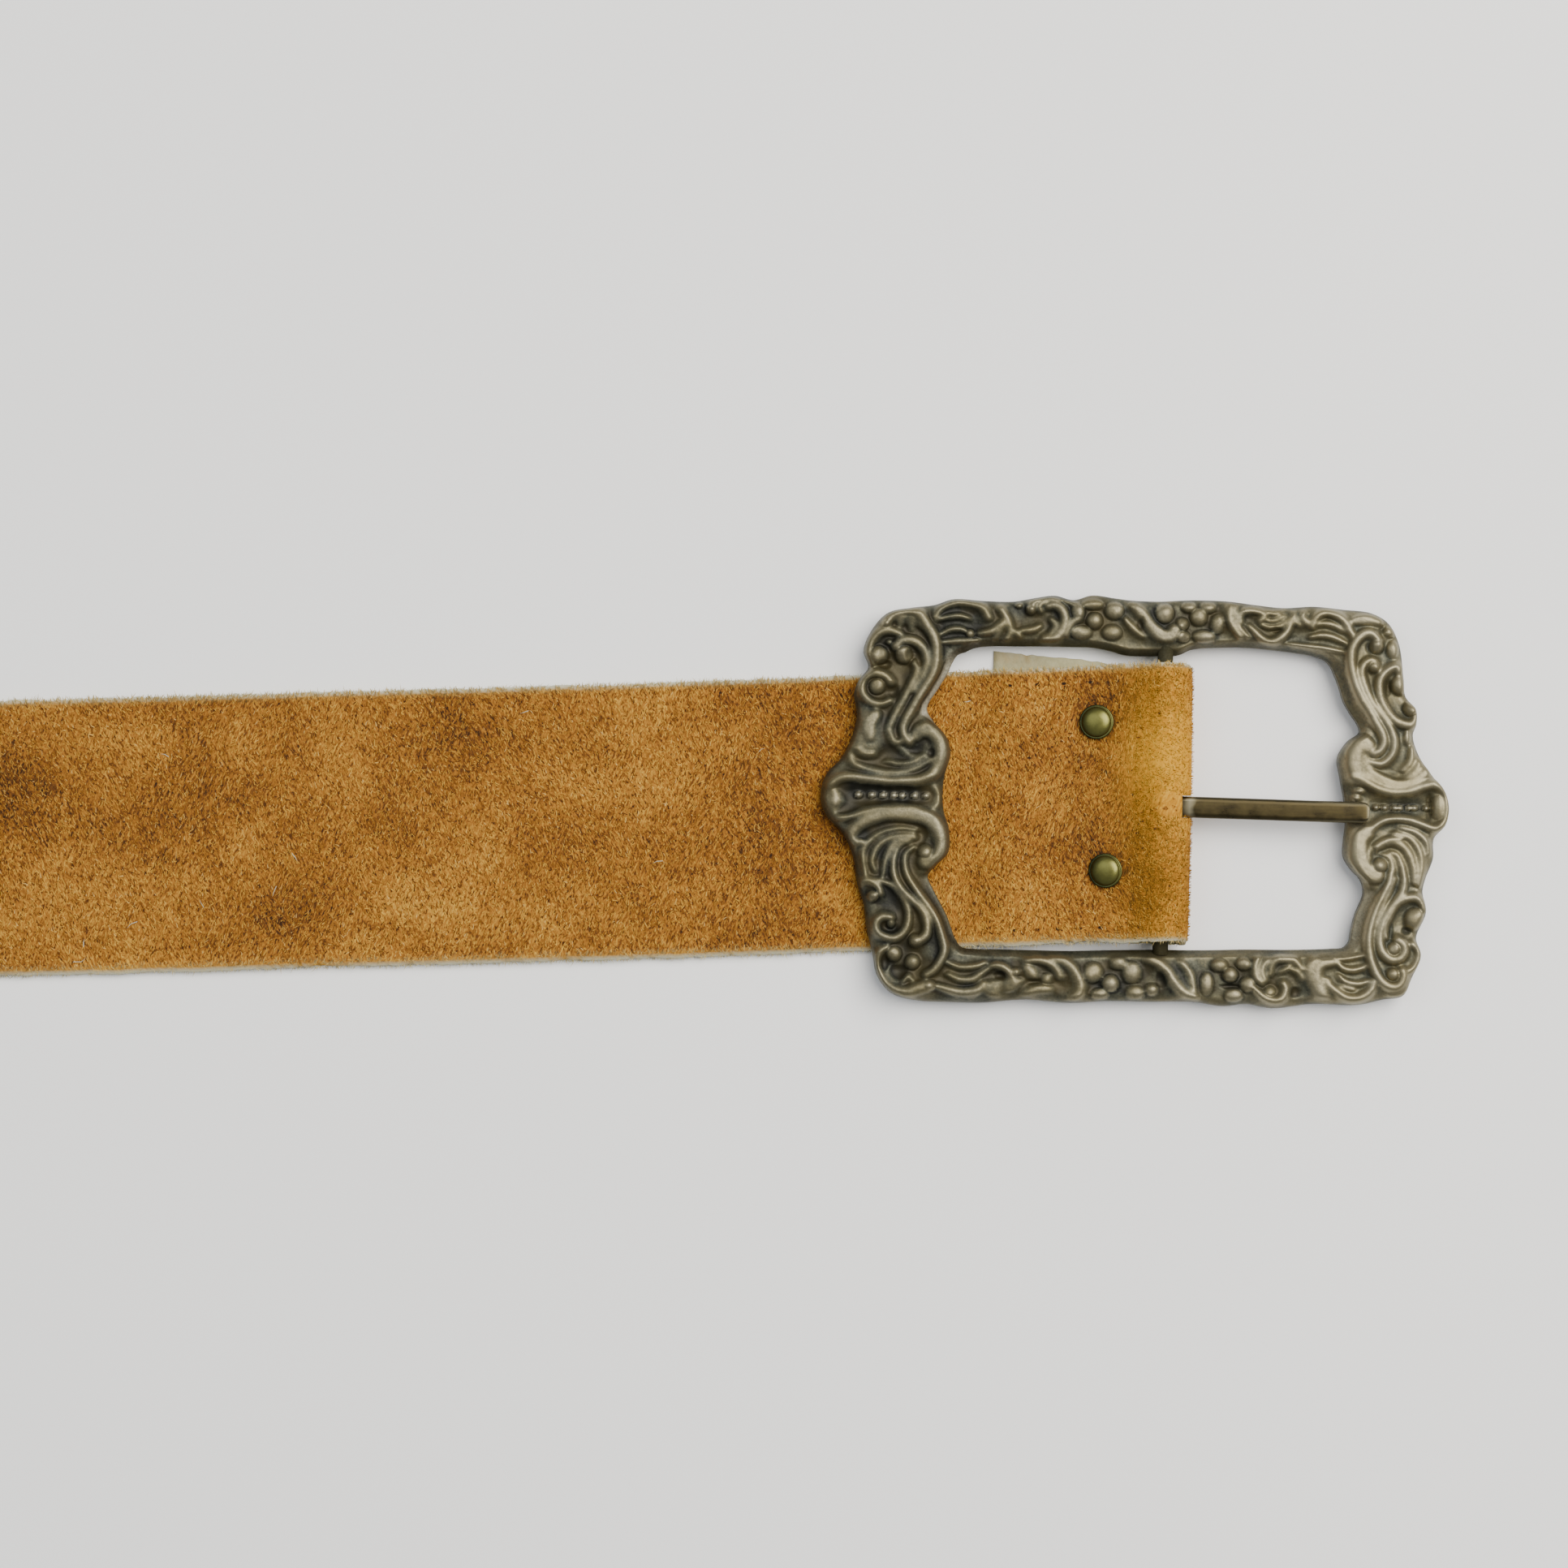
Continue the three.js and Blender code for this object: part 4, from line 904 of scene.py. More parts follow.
    # right bar, upper half
    (1.0, 1.5, 0.8, 0.8, "38.4,26.8 37.6,27.7 36.6,28 35.5,27.4 34.6,26.3 34.1,24.9 34.1,23 34.5,21"
     " 35.2,19 36.1,17.2 37.2,15.6 38.3,13.6 39.3,11.8 39.6,10.4 39,9.1 38,8.5"),
    (0.95, 1.4, 0.7, 0.7, "38.3,22.3 38,23.3 37.2,23.6 36.2,22.9 35.8,21.6 36.2,20 36.8,18.3"
     " 37.7,16.6 38.8,15.3 40,13.7 40.9,12 41.3,10.5 41.2,9 40.6,7.9 39.2,6.9 37.5,7.2"),
    (0.95, 1.4, 0.7, 0.8, "42.3,22.5 41,22.6 39.7,21.8 38.8,20.5 38.7,19 39,17.4 39.9,15.6 41.2,14.1"
     " 42.8,13.4 44.2,13.4 44.8,14.3 44.8,15.3"),
    # right bar, middle
    (1.9, 1.5, 0.75, 0.6, "36.9,9.7 35.9,10.3 35.1,9.3 34.9,7.7 35.0,6.2 35.7,4.9 37,4.5"),
    (0.88, 1.4, 1.0, 0.9, "34.6,4.8 35.8,4.6 37.3,3.7 39.2,2.8 41.5,2.4 44,2.7 46,3.4 47.8,3.8"
     " 49.2,3.2 50,2 50.2,0 49.8,-2 49,-2.9"),
    (1.15, 1.2, 0.7, 0.7, "36.5,8 36.7,6.8 37.8,5.3 39.5,4.3 41.5,3.6 43.5,3.8 45.5,4.8 46.8,6"),
    (0.8, 1.0, 0.6, 0.6, "44.3,9.6 44,7.5 42.8,5.9"),
    (0.8, 1.0, 0.6, 0.6, "45.6,7.5 44.8,6 43.4,4.9"),
    (0.8, 0.9, 0.6, 0.6, "43.4,12 43.4,10.5"),
    (0.8, 1.3, 0.7, 0.8, "37.7,-4.6 38,-3.5 39.5,-2.3 41.5,-1.8 43.5,-1.9 46,-2.7 48,-3.4 49.3,-2.9"),
    (2.1, 1.5, 0.75, 0.6, "38.5,-10.9 36.9,-10.4 36.0,-8.8 35.8,-7 36.0,-5.2 37.1,-4.1"),
    (0.8, 1.2, 0.7, 0.7, "38,-8.3 38.3,-7 39.3,-6 40.8,-5.3 42.5,-5.2"),
    (0.8, 1.0, 0.6, 0.6, "39.8,-7.7 40.8,-8.2 41.3,-9.5 41.3,-11 40.8,-12.5"),
    (0.72, 1.0, 0.6, 0.6, "41,-7.3 42,-7.7 42.7,-9 43.1,-10.5 43.1,-12 42.8,-13"),
    (1.0, 1.1, 0.6, 0.6, "39,-6.5 41,-5.6 43,-6.3 44.2,-8 44.8,-10 45,-12"),
    (0.8, 1.0, 0.6, 0.6, "41.5,-4.2 43.8,-4.8 45.3,-6.3 46,-8.3 46.1,-10.5 45.8,-12.5"),
    (0.72, 1.0, 0.6, 0.6, "42.5,-3.3 45,-4 46.8,-5.5 47.3,-7.5"),
    # right bar, lower half
    (0.95, 1.5, 0.6, 0.9, "41.2,-10.5 40.8,-12.3 39.8,-14.3 38.8,-16.5 38.1,-18.7 37.7,-21 37.8,-23.3"
     " 38.3,-25.3 39.2,-27.2 40.4,-28.5 41.8,-29 42.9,-28.5 43.4,-27.3 43.2,-26.3"),
    (0.95, 1.4, 0.6, 0.9, "42.9,-9.5 43.3,-12 42.8,-14 41,-16.5 40,-18.5 39.5,-20.5 39.6,-22.5"
     " 40.3,-23.8 41.5,-24.6 42.8,-24.3 43.5,-23.3 43.2,-22 42.4,-21.4"),
    (0.72, 1.1, 0.6, 0.6, "41.8,-11.5 41,-13.5 39.9,-16 39.1,-18.5 38.9,-21"),
    (0.88, 1.3, 0.6, 0.8, "40.6,-21 40.6,-19 41.3,-17 42.2,-15.5 43.5,-14.7 45,-14.5 46.2,-15.2"
     " 46.7,-16.6"),
    (0.88, 1.2, 0.8, 0.6, "44.8,-22 45.7,-22.5 46,-24 45.5,-25.5 44.6,-26.3 43.8,-26.4"),
    (0.8, 1.0, 0.6, 0.6, "44.5,-28 44,-29.3 43,-30.1 41.5,-30.4"),
    # bottom rail
    (0.72, 1.0, 0.6, 0.6, "-30,-26.3 -28,-27 -25.5,-26.8 -24,-26.2"),
    (0.8, 1.0, 0.6, 0.6, "-30,-28.2 -28,-29 -26,-28.9 -24.8,-28.1 -23.5,-27.2"),
    (0.95, 1.2, 0.6, 0.8, "-32,-30 -30,-30.6 -28,-31 -26,-30.9 -24.8,-30.4 -24.2,-29.7"),
    (0.88, 1.2, 0.6, 0.8, "-23,-26.7 -21.8,-26.6 -20.5,-27.2 -19.7,-28.3 -19.3,-29.6"),
    (0.65, 0.9, 0.7, 0.7, "-23.8,-29.5 -23.7,-31"),
    (0.65, 0.9, 0.7, 0.7, "-22.8,-29.3 -22.9,-31.4"),
    (0.65, 0.9, 0.7, 0.7, "-21.9,-29.3 -22.1,-31.5"),
    (0.65, 0.9, 0.7, 0.7, "-20.5,-29.3 -20.5,-30.6"),
    (0.8, 1.0, 0.7, 0.7, "-19.8,-30.4 -18.3,-29.1"),
    (1.2, 1.1, 0.7, 0.7, "-17.3,-27 -16,-28.1"),
    (0.88, 1.2, 0.6, 0.8, "-17.5,-25.8 -15.5,-25.6 -13.8,-26 -12.6,-27 -12,-28.2"),
    (1.2, 1.3, 0.5, 0.7, "-13,-25.3 -11.3,-25.8 -10,-26.8 -9.2,-28 -8.6,-29.3 -8.7,-30.6 -9.6,-31.6"),
    (1.05, 1.0, 0.7, 0.7, "-17.2,-31 -15.5,-30.3 -13.5,-30.3"),
    (1.15, 1.3, 0.6, 0.6, "2.3,-25.2 3.8,-25.7 5.3,-27 6.3,-28.5 7.4,-29.8 8.6,-30.8 10,-31.3"),
    (0.72, 1.1, 0.6, 0.6, "7.5,-25.5 8.7,-26.8 9.3,-28 9.6,-29.3 9.9,-30.3"),
    (0.8, 1.1, 0.6, 0.8, "20,-24.7 19.5,-26 19.7,-27.8 20.7,-28.7"),
    (0.72, 1.0, 0.6, 0.8, "21.6,-24.9 20.8,-26 20.7,-27.3 21.3,-28.3"),
    (0.88, 1.1, 0.6, 0.7, "22,-27.3 22.2,-25.9 23,-24.9 24.5,-24.8 26,-25.1 26.9,-26.3"),
    (0.65, 1.0, 0.6, 0.6, "23.5,-27 24.5,-26.4 25.3,-25.8"),
    (0.65, 1.0, 0.6, 0.6, "25.5,-26.5 26.5,-27 27,-28"),
    (0.95, 1.3, 0.6, 0.8, "19.3,-29.5 20.8,-30.8 22,-31.4 23.3,-31.5 24.2,-30.8 24.5,-29.6 24.1,-28.7"),
    (0.88, 1.1, 0.6, 0.7, "29.5,-24.7 28.4,-25.5 28.2,-27 28.8,-28.8 29.8,-30.5"),
    (1.2, 1.2, 0.6, 0.6, "32,-25.2 30.3,-25.5 29.6,-26.4 29.5,-27.8 30,-29.3 30.8,-30.5"),
    (0.95, 1.3, 0.6, 0.8, "31.2,-28 31.7,-29 32.9,-30 34.3,-30.9 35.8,-31 37.3,-30.4 38.3,-29.4"
     " 38.6,-28.3"),
    (0.72, 1.0, 0.6, 0.6, "32.8,-25 33.5,-26 35,-26.4 36.5,-26.1 37.8,-25.4"),
    (0.72, 1.0, 0.6, 0.6, "33,-27.3 34,-28.2 36,-28.6 38,-28"),
    (0.65, 0.9, 0.6, 0.6, "33.5,-29 35.5,-29.5"),
    (0.65, 0.9, 0.5, 0.5, "32,-24.5 34,-24.6 37.8,-23.8"),
]

# Broad smooth masses under the scrolls, as rows of the same kind
BODIES = [
    (3.0, 2.2, 0.85, 1.0, "-43.2,12.6 -43.5,9.4"),
    (2.4, 1.0, 0.8, 0.8, "-36.5,28 -34.2,24 -35.5,19 -38.5,13.5"),
    (2.4, 1.0, 0.8, 0.8, "-43,26 -41.5,28.3"),
    (2.6, 1.3, 0.8, 0.6, "-33.6,9.4 -32.2,6.8 -34.5,4.4"),
    (2.4, 1.2, 0.8, 0.6, "-33.5,-7.6 -32.6,-5.4 -35.5,-3.2"),
    (2.4, 0.9, 0.8, 0.8, "-37.5,-10 -36.5,-14.5 -33.5,-20 -32.5,-25"),
    (2.0, 0.8, 0.8, 0.8, "-41.5,-29 -36,-30.8"),
    (2.4, 0.9, 0.8, 0.8, "36,26 35.2,21.5 38.5,15 40.5,10"),
    (2.6, 1.3, 0.8, 0.6, "35.6,8.8 35.2,6.2 38.5,4"),
    (2.6, 1.2, 0.8, 0.6, "37.2,-9.4 36.4,-6.4 38.8,-3.8"),
    (2.4, 0.9, 0.8, 0.8, "42,-11.5 39.8,-17 39,-23 41,-27.5"),
]

# Rounded lobes: the eyes of the scrolls, beads, petals and the hearts of the flowers
LOBES = [
    # x, y, radius across, radius up, rise
    (-41.9, 23.1, 1.55, 1.55, 2.0), (-37.9, 23.2, 1.55, 1.55, 2.0),
    (-42.2, 18.0, 1.35, 1.35, 1.6), (-48.7, -0.2, 1.1, 1.8, 0.9), (-34, -8.5, 1.3, 1.3, 1.6),
    (-35.4, -22.8, 1.1, 1.1, 1.5), (-42.3, -15.8, 1, 1, 1.4), (-39.3, -20.3, 0.78, 0.78, 1.3),
    (-33, -30, 1.3, 1, 1.4), (-38.7, -25, 1.3, 1.3, 1.5), (-35.7, -26.3, 1.3, 1.3, 1.5),
    (-40.9, 28.3, 0.9, 0.9, 1.5), (-40.4, 25.2, 0.56, 0.56, 0.9), (-37.2, 23.6, 0.56, 0.56, 0.9),
    (-27.3, 26.8, 0.78, 0.78, 1.2), (-19.5, 31.6, 0.67, 0.67, 1), (-17.6, 30.8, 0.84, 0.84, 1.3),
    (-7.3, 29.2, 1.4, 1.4, 1.6), (-7.6, 31.9, 1.9, 1.0, 1.1),
    (-4.1, 30.9, 1.65, 1.5, 1.2), (-4.4, 27.4, 1.75, 1.3, 1.1), (-9.4, 27.3, 1.9, 1.2, 1.1),
    (-10.0, 30.6, 1.2, 1.4, 1.0), (4, 30.6, 1.6, 1.7, 1.7), (6.9, 28.9, 1.1, 1.1, 1.3),
    (9.5, 30.1, 1.5, 1.5, 1.3), (7.9, 31.7, 1.3, 1, 1.1), (11.0, 31.7, 1.4, 1.1, 1.1),
    (12.5, 29.0, 1.2, 1.7, 1.1), (10.4, 27, 2.0, 1.1, 1.1), (7.0, 26.9, 1.3, 1.0, 1.0),
    (38.2, 25.8, 1.2, 1.2, 1.6), (37.8, 22.5, 1, 1, 1.4), (42.2, 19.7, 1.6, 1.7, 1.7),
    (43.9, 15.9, 1.3, 1.3, 1.6), (40.4, 28.3, 1.2, 1, 1.1), (40.9, 25.4, 1.1, 1.5, 1.1),
    (42, 22, 0.9, 1.1, 1), (48.5, 0.1, 1.2, 2.1, 1.1), (35.4, 1.4, 0.9, 0.67, 0.9),
    (35.8, 2.4, 0.9, 0.56, 0.9), (39.3, -9.4, 1.3, 1.3, 1.6), (41.7, -26.9, 1.1, 1.1, 1.5),
    (41.8, -22.8, 1.1, 1.1, 1.5), (45.1, -18, 1.7, 1.9, 1.7), (-19, -27.6, 0.78, 0.78, 1.1),
    (-6.5, -27.5, 1.7, 1.8, 1.2), (-3.7, -29.2, 1.5, 1.5, 1.6), (-5.4, -31, 1.5, 1.1, 1.1),
    (-2.5, -25.9, 1.5, 1.2, 1.1), (-0.3, -27.4, 1.7, 1.9, 1.2), (0.3, -30.7, 1.6, 1.3, 1.1),
    (3, -30.1, 1.1, 1.1, 1.3), (11.8, -29, 1.2, 2, 1.1), (15.6, -27.5, 1.3, 1.3, 1.6),
    (13.8, -26, 1.5, 1.1, 1.1), (17.7, -25.7, 1.3, 1.1, 1.1), (18.3, -29, 1.3, 1.3, 1.1),
    (16.2, -30.8, 1.6, 1.2, 1.1), (22, -30, 1, 0.9, 1.1), (-14, -28.6, 1, 1, 1),
]
for x in (-44.9, -42.7, -40.9, -39.2, -37.8, -35.8, -34.0):
    LOBES.append((x, 0.5, 0.58, 0.58, 1.5))
for x in (38.6, 40.0, 41.6, 42.5, 43.9, 44.8, 46.8):
    LOBES.append((x, -0.1, 0.5, 0.5, 1.5))

# Hollows, where the antique finish stays darkest
HOLLOWS = [
    # x, y, radius across, radius up, depth
    (-38.0, -28.0, 1.6, 1.4, 0.6), (-41.0, 21.6, 1.2, 0.8, 0.5), (-40.3, 0.5, 8.0, 2.0, 0.6),
    (42.5, 0.0, 5.8, 1.9, 0.4), (47.2, 0.1, 0.7, 2.4, 0.6), (39.2, 28.6, 0.7, 0.6, 0.3),
    (37.0, 25.6, 0.7, 0.9, 0.35), (-37.0, 23.0, 0.8, 1.4, 0.5), (-21.5, -28.2, 1.0, 0.8, 0.6),
    (4.5, -28.4, 1.1, 1.6, 0.6), (43.9, -19.9, 1.0, 0.7, 0.4), (-39.6, 17.6, 1.0, 1.5, 0.4),
    (40.2, 19.2, 0.7, 1.6, 0.5), (-16.0, -29.2, 1.5, 0.7, 0.4), (26.0, -30.2, 1.2, 1.0, 0.5),
    (-40.3, -26.6, 0.9, 1.5, 0.5), (0.2, 28.9, 0.6, 1.2, 0.5), (22.0, 28.2, 1.2, 0.5, 0.4),
    (-39.5, -20.8, 1.5, 1.2, 0.5), (41.2, -20.0, 0.7, 1.8, 0.4), (-34.6, -5.8, 1.1, 1.5, 0.5),
    (38.2, -7.6, 0.5, 1.4, 0.5), (-33.2, 7.4, 0.6, 0.9, 0.3), (15.6, -29.4, 1.9, 0.5, 0.4),
]


def rounded_ring(corners, count):
    """A closed smooth line through corners, with as many points between each two of them."""
    before, here = np.roll(corners, 1, axis=0), corners
    after, beyond = np.roll(corners, -1, axis=0), np.roll(corners, -2, axis=0)
    step = np.sqrt(np.linalg.norm(after - here, axis=1))[:, None]
    step_before, step_after = np.roll(step, 1, axis=0), np.roll(step, -1, axis=0)
    rate = (after - here) / step
    leave = (here - before) / step_before - (after - before) / (step_before + step) + rate
    enter = rate - (beyond - here) / (step + step_after) + (beyond - after) / step_after
    leave, enter = leave * step, enter * step
    t = np.linspace(0, 1, count, endpoint=False)[None, :, None]
    here, after, leave, enter = [part[:, None, :] for part in (here, after, leave, enter)]
    line = here + leave * t + (3 * (after - here) - 2 * leave - enter) * t**2
    line = line + (2 * (here - after) + leave + enter) * t**3
    return line.reshape(-1, 2)


def smooth_run(text, steps=8):
    """The places in a row of a table as a smooth open line."""
    corners = np.array([[float(n) for n in pair.split(",")] for pair in text.split()])
    if len(corners) < 3:
        return corners
    before, beyond = 2 * corners[0] - corners[1], 2 * corners[-1] - corners[-2]
    padded = np.concatenate([[before], corners, [beyond]])
    a, b, c, d = padded[:-3, None], padded[1:-2, None], padded[2:-1, None], padded[3:, None]
    t = np.linspace(0, 1, steps, endpoint=False)[None, :, None]
    bend = a - 2.5 * b + 2 * c - d / 2
    twist = 1.5 * (b - c) + (d - a) / 2
    line = b + (c - a) / 2 * t + bend * t**2 + twist * t**3
    return np.concatenate([line.reshape(-1, 2), corners[-1:]])


def bands(x, y, table, spread=1.0):
    """Height of the raised bands of a table at points in plan, with their widths spread."""
    rise = np.zeros_like(x)
    for half, top, at_start, at_end, text in table:
        line = smooth_run(text)
        reach_out = half * spread
        low, high = line.min(axis=0) - reach_out, line.max(axis=0) + reach_out
        near = (x > low[0]) & (x < high[0]) & (y > low[1]) & (y < high[1])
        near_x, near_y = x[near], y[near]
        best = np.zeros(len(near_x))
        for i in range(len(line) - 1):
            a, step = line[i], line[i + 1] - line[i]
            t = ((near_x - a[0]) * step[0] + (near_y - a[1]) * step[1]) / (step @ step)
            t = np.clip(t, 0, 1)
            off = np.hypot(near_x - a[0] - t * step[0], near_y - a[1] - t * step[1])
            run = (i + t) / (len(line) - 1)
            taper = 1 - (1 - at_start) * (1 - run) ** 2 - (1 - at_end) * run**2
            square = np.clip(off / (reach_out * taper), 0, 1) ** (2.6 + 1.4 * (half > 1.1))
            best = np.maximum(best, (1 - square) ** 0.75 * (0.35 + 0.65 * taper))
        rise[near] = np.maximum(rise[near], top * best)
    return rise


def lobes(x, y):
    """Height of the round lobes at points in plan."""
    rise = np.zeros_like(x)
    for cx, cy, rx, ry, top in LOBES:
        off = ((x - cx) / rx) ** 2 + ((y - cy) / ry) ** 2
        rise = np.maximum(rise, top * np.sqrt(np.clip(1 - off, 0, 1)))
    return rise


def hollows(x, y):
    """Depth of the hollows at points in plan."""
    depth = np.zeros_like(x)
    for cx, cy, rx, ry, deepest in HOLLOWS:
        off = ((x - cx) / rx) ** 2 + ((y - cy) / ry) ** 2
        depth = np.maximum(depth, deepest * np.clip(1 - off, 0, 1))
    return depth


def blurred(values, steps):
    """Values of the ring averaged over some steps both ways."""
    total = sum(np.roll(values[:-1], k, axis=0) for k in range(-steps, steps + 1)) / (2 * steps + 1)
    total = np.concatenate([total, total[:1]])
    padded = np.pad(total, ((0, 0), (steps, steps)), mode="edge")
    return sum(padded[:, k : k + values.shape[1]] for k in range(2 * steps + 1)) / (2 * steps + 1)


sections = np.array(OUTLINES)
outer_line = rounded_ring(sections[:, :2], STEPS_ALONG)
inner_line = rounded_ring(sections[:, 2:], STEPS_ALONG)
outer_line = np.concatenate([outer_line, outer_line[:1]])
inner_line = np.concatenate([inner_line, inner_line[:1]])
# Round the section: the face from the outside in, the window's wall, the back and the outer wall
walls = len(WALL_LIFTS)
over_face = np.linspace(0, 1, FACE_STEPS)
over_back = np.linspace(1, 0, BACK_STEPS + 2)[1:-1]
reach = np.concatenate([over_face, np.ones(walls), over_back, np.zeros(walls), [0.0]])[None, :]
lifts = [np.ones(FACE_STEPS), WALL_LIFTS, np.zeros(BACK_STEPS), WALL_LIFTS[::-1], [1.0]]
lift = np.concatenate(lifts)[None, :]
width = np.linalg.norm(outer_line - inner_line, axis=1)[:, None]
plan_x = outer_line[:, :1] + (inner_line - outer_line)[:, :1] * reach
plan_y = outer_line[:, 1:] + (inner_line - outer_line)[:, 1:] * reach
from_window = (1 - reach) * width
from_outside = reach * width
on_side_bar = np.clip((23.8 - np.abs(inner_line[:, 1:])) / 2.5, 0, 1)
facet = 1.1 + 0.5 * on_side_bar
bare_facet = on_side_bar * np.clip((np.abs(inner_line[:, 1:]) - 11.5) / 2, 0, 1)
up_facet = np.clip(from_window / facet, 0, 1)
up_facet = 0.6 * up_facet + 0.4 * np.sin(up_facet * np.pi / 2)
up_outside = np.sqrt(np.clip(1 - (1 - np.clip(from_outside / 1.6, 0, 1)) ** 2, 0, 1))
inner_drop = CROWN - INNER_EDGE - 0.8 * on_side_bar
plain_height = CROWN - inner_drop * (1 - up_facet) - (CROWN - OUTER_EDGE) * (1 - up_outside)
fade = np.clip(np.minimum(from_window / (0.5 + 0.9 * bare_facet), from_outside / 0.5), 0, 1)
crests = 0.66 * blurred(bands(plan_x, plan_y, RIDGES, 1.08), 1)
swell = bands(plan_x, plan_y, RIDGES, 1.8)
ground = 0.6 * blurred(np.maximum(swell, bands(plan_x, plan_y, BODIES)), 3)
ground -= hollows(plan_x, plan_y)
rounds = 0.85 * lobes(plan_x, plan_y)
ornament = (ground + np.maximum(crests, 0.5 * rounds + 0.5 * blurred(rounds, 1))) * fade
cast_grain = 0.025 * grid_noise(61, plan_x, plan_y, 0.6) + 0.03 * grid_noise(62, plan_x, plan_y, 1.7)
top_height = plain_height + ornament + cast_grain * fade
frame_places = np.stack([plan_x, plan_y, BACK_Z + top_height * lift], axis=-1)

# How far the finish is rubbed: back to bright brass on what stands out, least in what lies deep.
# The finish is painted lighter towards the right bar, as painted light. The walls keep a cloudy tarnish of
# their own.
stand_out = top_height - blurred(top_height, 3)
broad = top_height - blurred(top_height, 9)
# Painted light: the grooves are kept less dark and the finish lighter towards the right bar
lit_toward_right = np.clip((plan_x - 22) / 14, 0, 1)
kept_dark = 1.6 - 0.7 * lit_toward_right
rubbed = 0.16 * ornament + 0.2 * np.clip(stand_out, 0, 0.4) - kept_dark * np.clip(-stand_out, 0, 0.4)
rubbed += 0.4 * np.clip(broad, -0.6, 0.4) + 0.06 * np.clip(rounds - 0.3, 0, 1)
rubbed += 0.2 * np.clip((plan_x + 35) / 40, 0, 1) - 0.04 + 0.27 * lit_toward_right
# The small beads are painted bright in the middle of dark panels on both side bars: rubbed brass and a
# painted highlight
panels = np.exp(-(((plan_x + 40.3) / 7.2) ** 6) - ((plan_y - 0.5) / 1.6) ** 6)
panels += np.exp(-(((plan_x - 42.5) / 5.4) ** 6) - (plan_y / 1.5) ** 6)
rubbed += panels * np.where(rounds > 0.4, 0.8, np.where(plan_x < 0, -0.3, -0.1))
# The broad volutes beside the window stay darker on the right
for x, y in ((35.2, 7.0), (36.0, -7.6)):
    rubbed -= 0.22 * np.exp(-(((plan_x - x) / 2.4) ** 2) - ((plan_y - y) / 3.6) ** 2)
wall_tarnish = 0.02 + 0.12 * grid_noise(64, plan_x, plan_y, 4.0)
inside_rim = np.clip(np.minimum(from_outside, from_window) / 0.7, 0, 1)
rubbed = wall_tarnish + (rubbed - wall_tarnish) * inside_rim
rubbed += 0.25 * np.exp(-(((from_window - 0.2) / 0.35) ** 2)) * on_side_bar
patchy = np.clip(grid_noise(63, plan_x, plan_y, 2.6), 0, 1)
rubbed += 0.3 * np.exp(-(((from_outside - 0.2) / 0.25) ** 2)) * patchy
on_face = lift > 0.99
rubbed = np.where(on_face, rubbed, wall_tarnish)
# Painted pale: the plain facets beside the window, most at the upper left, and the tops of the beads;
# filed bare brass with a painted reflection on the facets and a painted highlight on the beads
filed_and_sheen = bare_facet * np.clip((1.75 - from_window) / 0.4, 0, 1) * np.clip(1.6 - ornament / 0.25, 0, 1)
filed_and_sheen_left = np.where(plan_y > 0, 1.0, 0.1)
filed_and_sheen_right = np.where(plan_y > 0, 0.0, 0.3)
filed_and_sheen *= np.where(plan_x < 0, filed_and_sheen_left, filed_and_sheen_right) * on_face
filed_and_sheen = np.maximum(filed_and_sheen, 0.75 * panels * np.clip((rounds - 0.5) / 0.4, 0, 1) * (plan_x < 47))
buckle = bent_strip("buckle_casting", to_row(frame_places), {"rubbed": rubbed, "filed_and_sheen": filed_and_sheen})

bm = bmesh.new()
bm.from_mesh(buckle.data)
bar_place = Matrix.Translation(Vector((BAR_X, 0.5, bar_z)))
bmesh.ops.create_cone(
    bm,
    cap_ends=True,
    segments=40,
    radius1=BAR_RADIUS,
    radius2=BAR_RADIUS,
    depth=BAR_LENGTH,
    matrix=from_plan @ bar_place @ Matrix.Rotation(math.pi / 2, 4, "X"),
)
bmesh.ops.recalc_face_normals(bm, faces=bm.faces)
for face in bm.faces:
    face.smooth = len(face.verts) < 5
bm.to_mesh(buckle.data)
bm.free()


def casting_material():
    """Antiqued brass casting: blackened in a bath, so its hollows and pitted grounds stay green-black,
    and rubbed back by hand, which leaves the ridges a soft warm gold, waxed to a low gloss."""
    material, tree = new_material("antiqued_brass_casting")
    spot = add(tree, "ShaderNodeTexCoord").outputs["Object"]
    cloud = noise(tree, spot, 420, 4.0, 0.6)
    fine = noise(tree, spot, 2300, 3.0, 0.65)
    # The rubbed mark holds wear, patina and painted light, lighter towards the right bar and on the beads
    level = sums(tree, "ADD", value_of(tree, "rubbed"), window(tree, cloud, 0.3, 0.7, -0.13, 0.13))
    level = sums(tree, "ADD", level, window(tree, fine, 0.3, 0.7, -0.11, 0.11))
    shades = [
        (0.02, "#17170e"), (0.22, "#303125"), (0.42, "#4a4a3c"), (0.66, "#69644e"), (0.95, "#878067"),
    ]
    aged = shaded(tree, sums(tree, "ADD", level, 0.3), shades)
    hue = noise(tree, spot, 160, 2.0)
    aged = mix(tree, window(tree, hue, 0.4, 0.65, 0.0, 0.3), aged, linear("#63562c"))
    # Pale filed brass with a painted reflection on the facets and a painted highlight on the beads
    filed_and_sheen = sums(tree, "MULTIPLY", value_of(tree, "filed_and_sheen"), window(tree, fine, 0.3, 0.6, 0.45, 1.0))
    return surfaced(material, tree, {
        "Base Color": mix(tree, filed_and_sheen, aged, linear("#a9a48f")),
        "Metallic": window(tree, level, -0.1, 0.5, 0.5, 0.85),
        "Roughness": window(tree, level, -0.1, 0.6, 0.56, 0.47),
        "Normal": bumped(tree, fine, 0.35, 0.0001),
    })


buckle.data.materials.clear()
buckle.data.materials.append(casting_material())
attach(buckle, "frame")
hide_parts("buckle_frame")


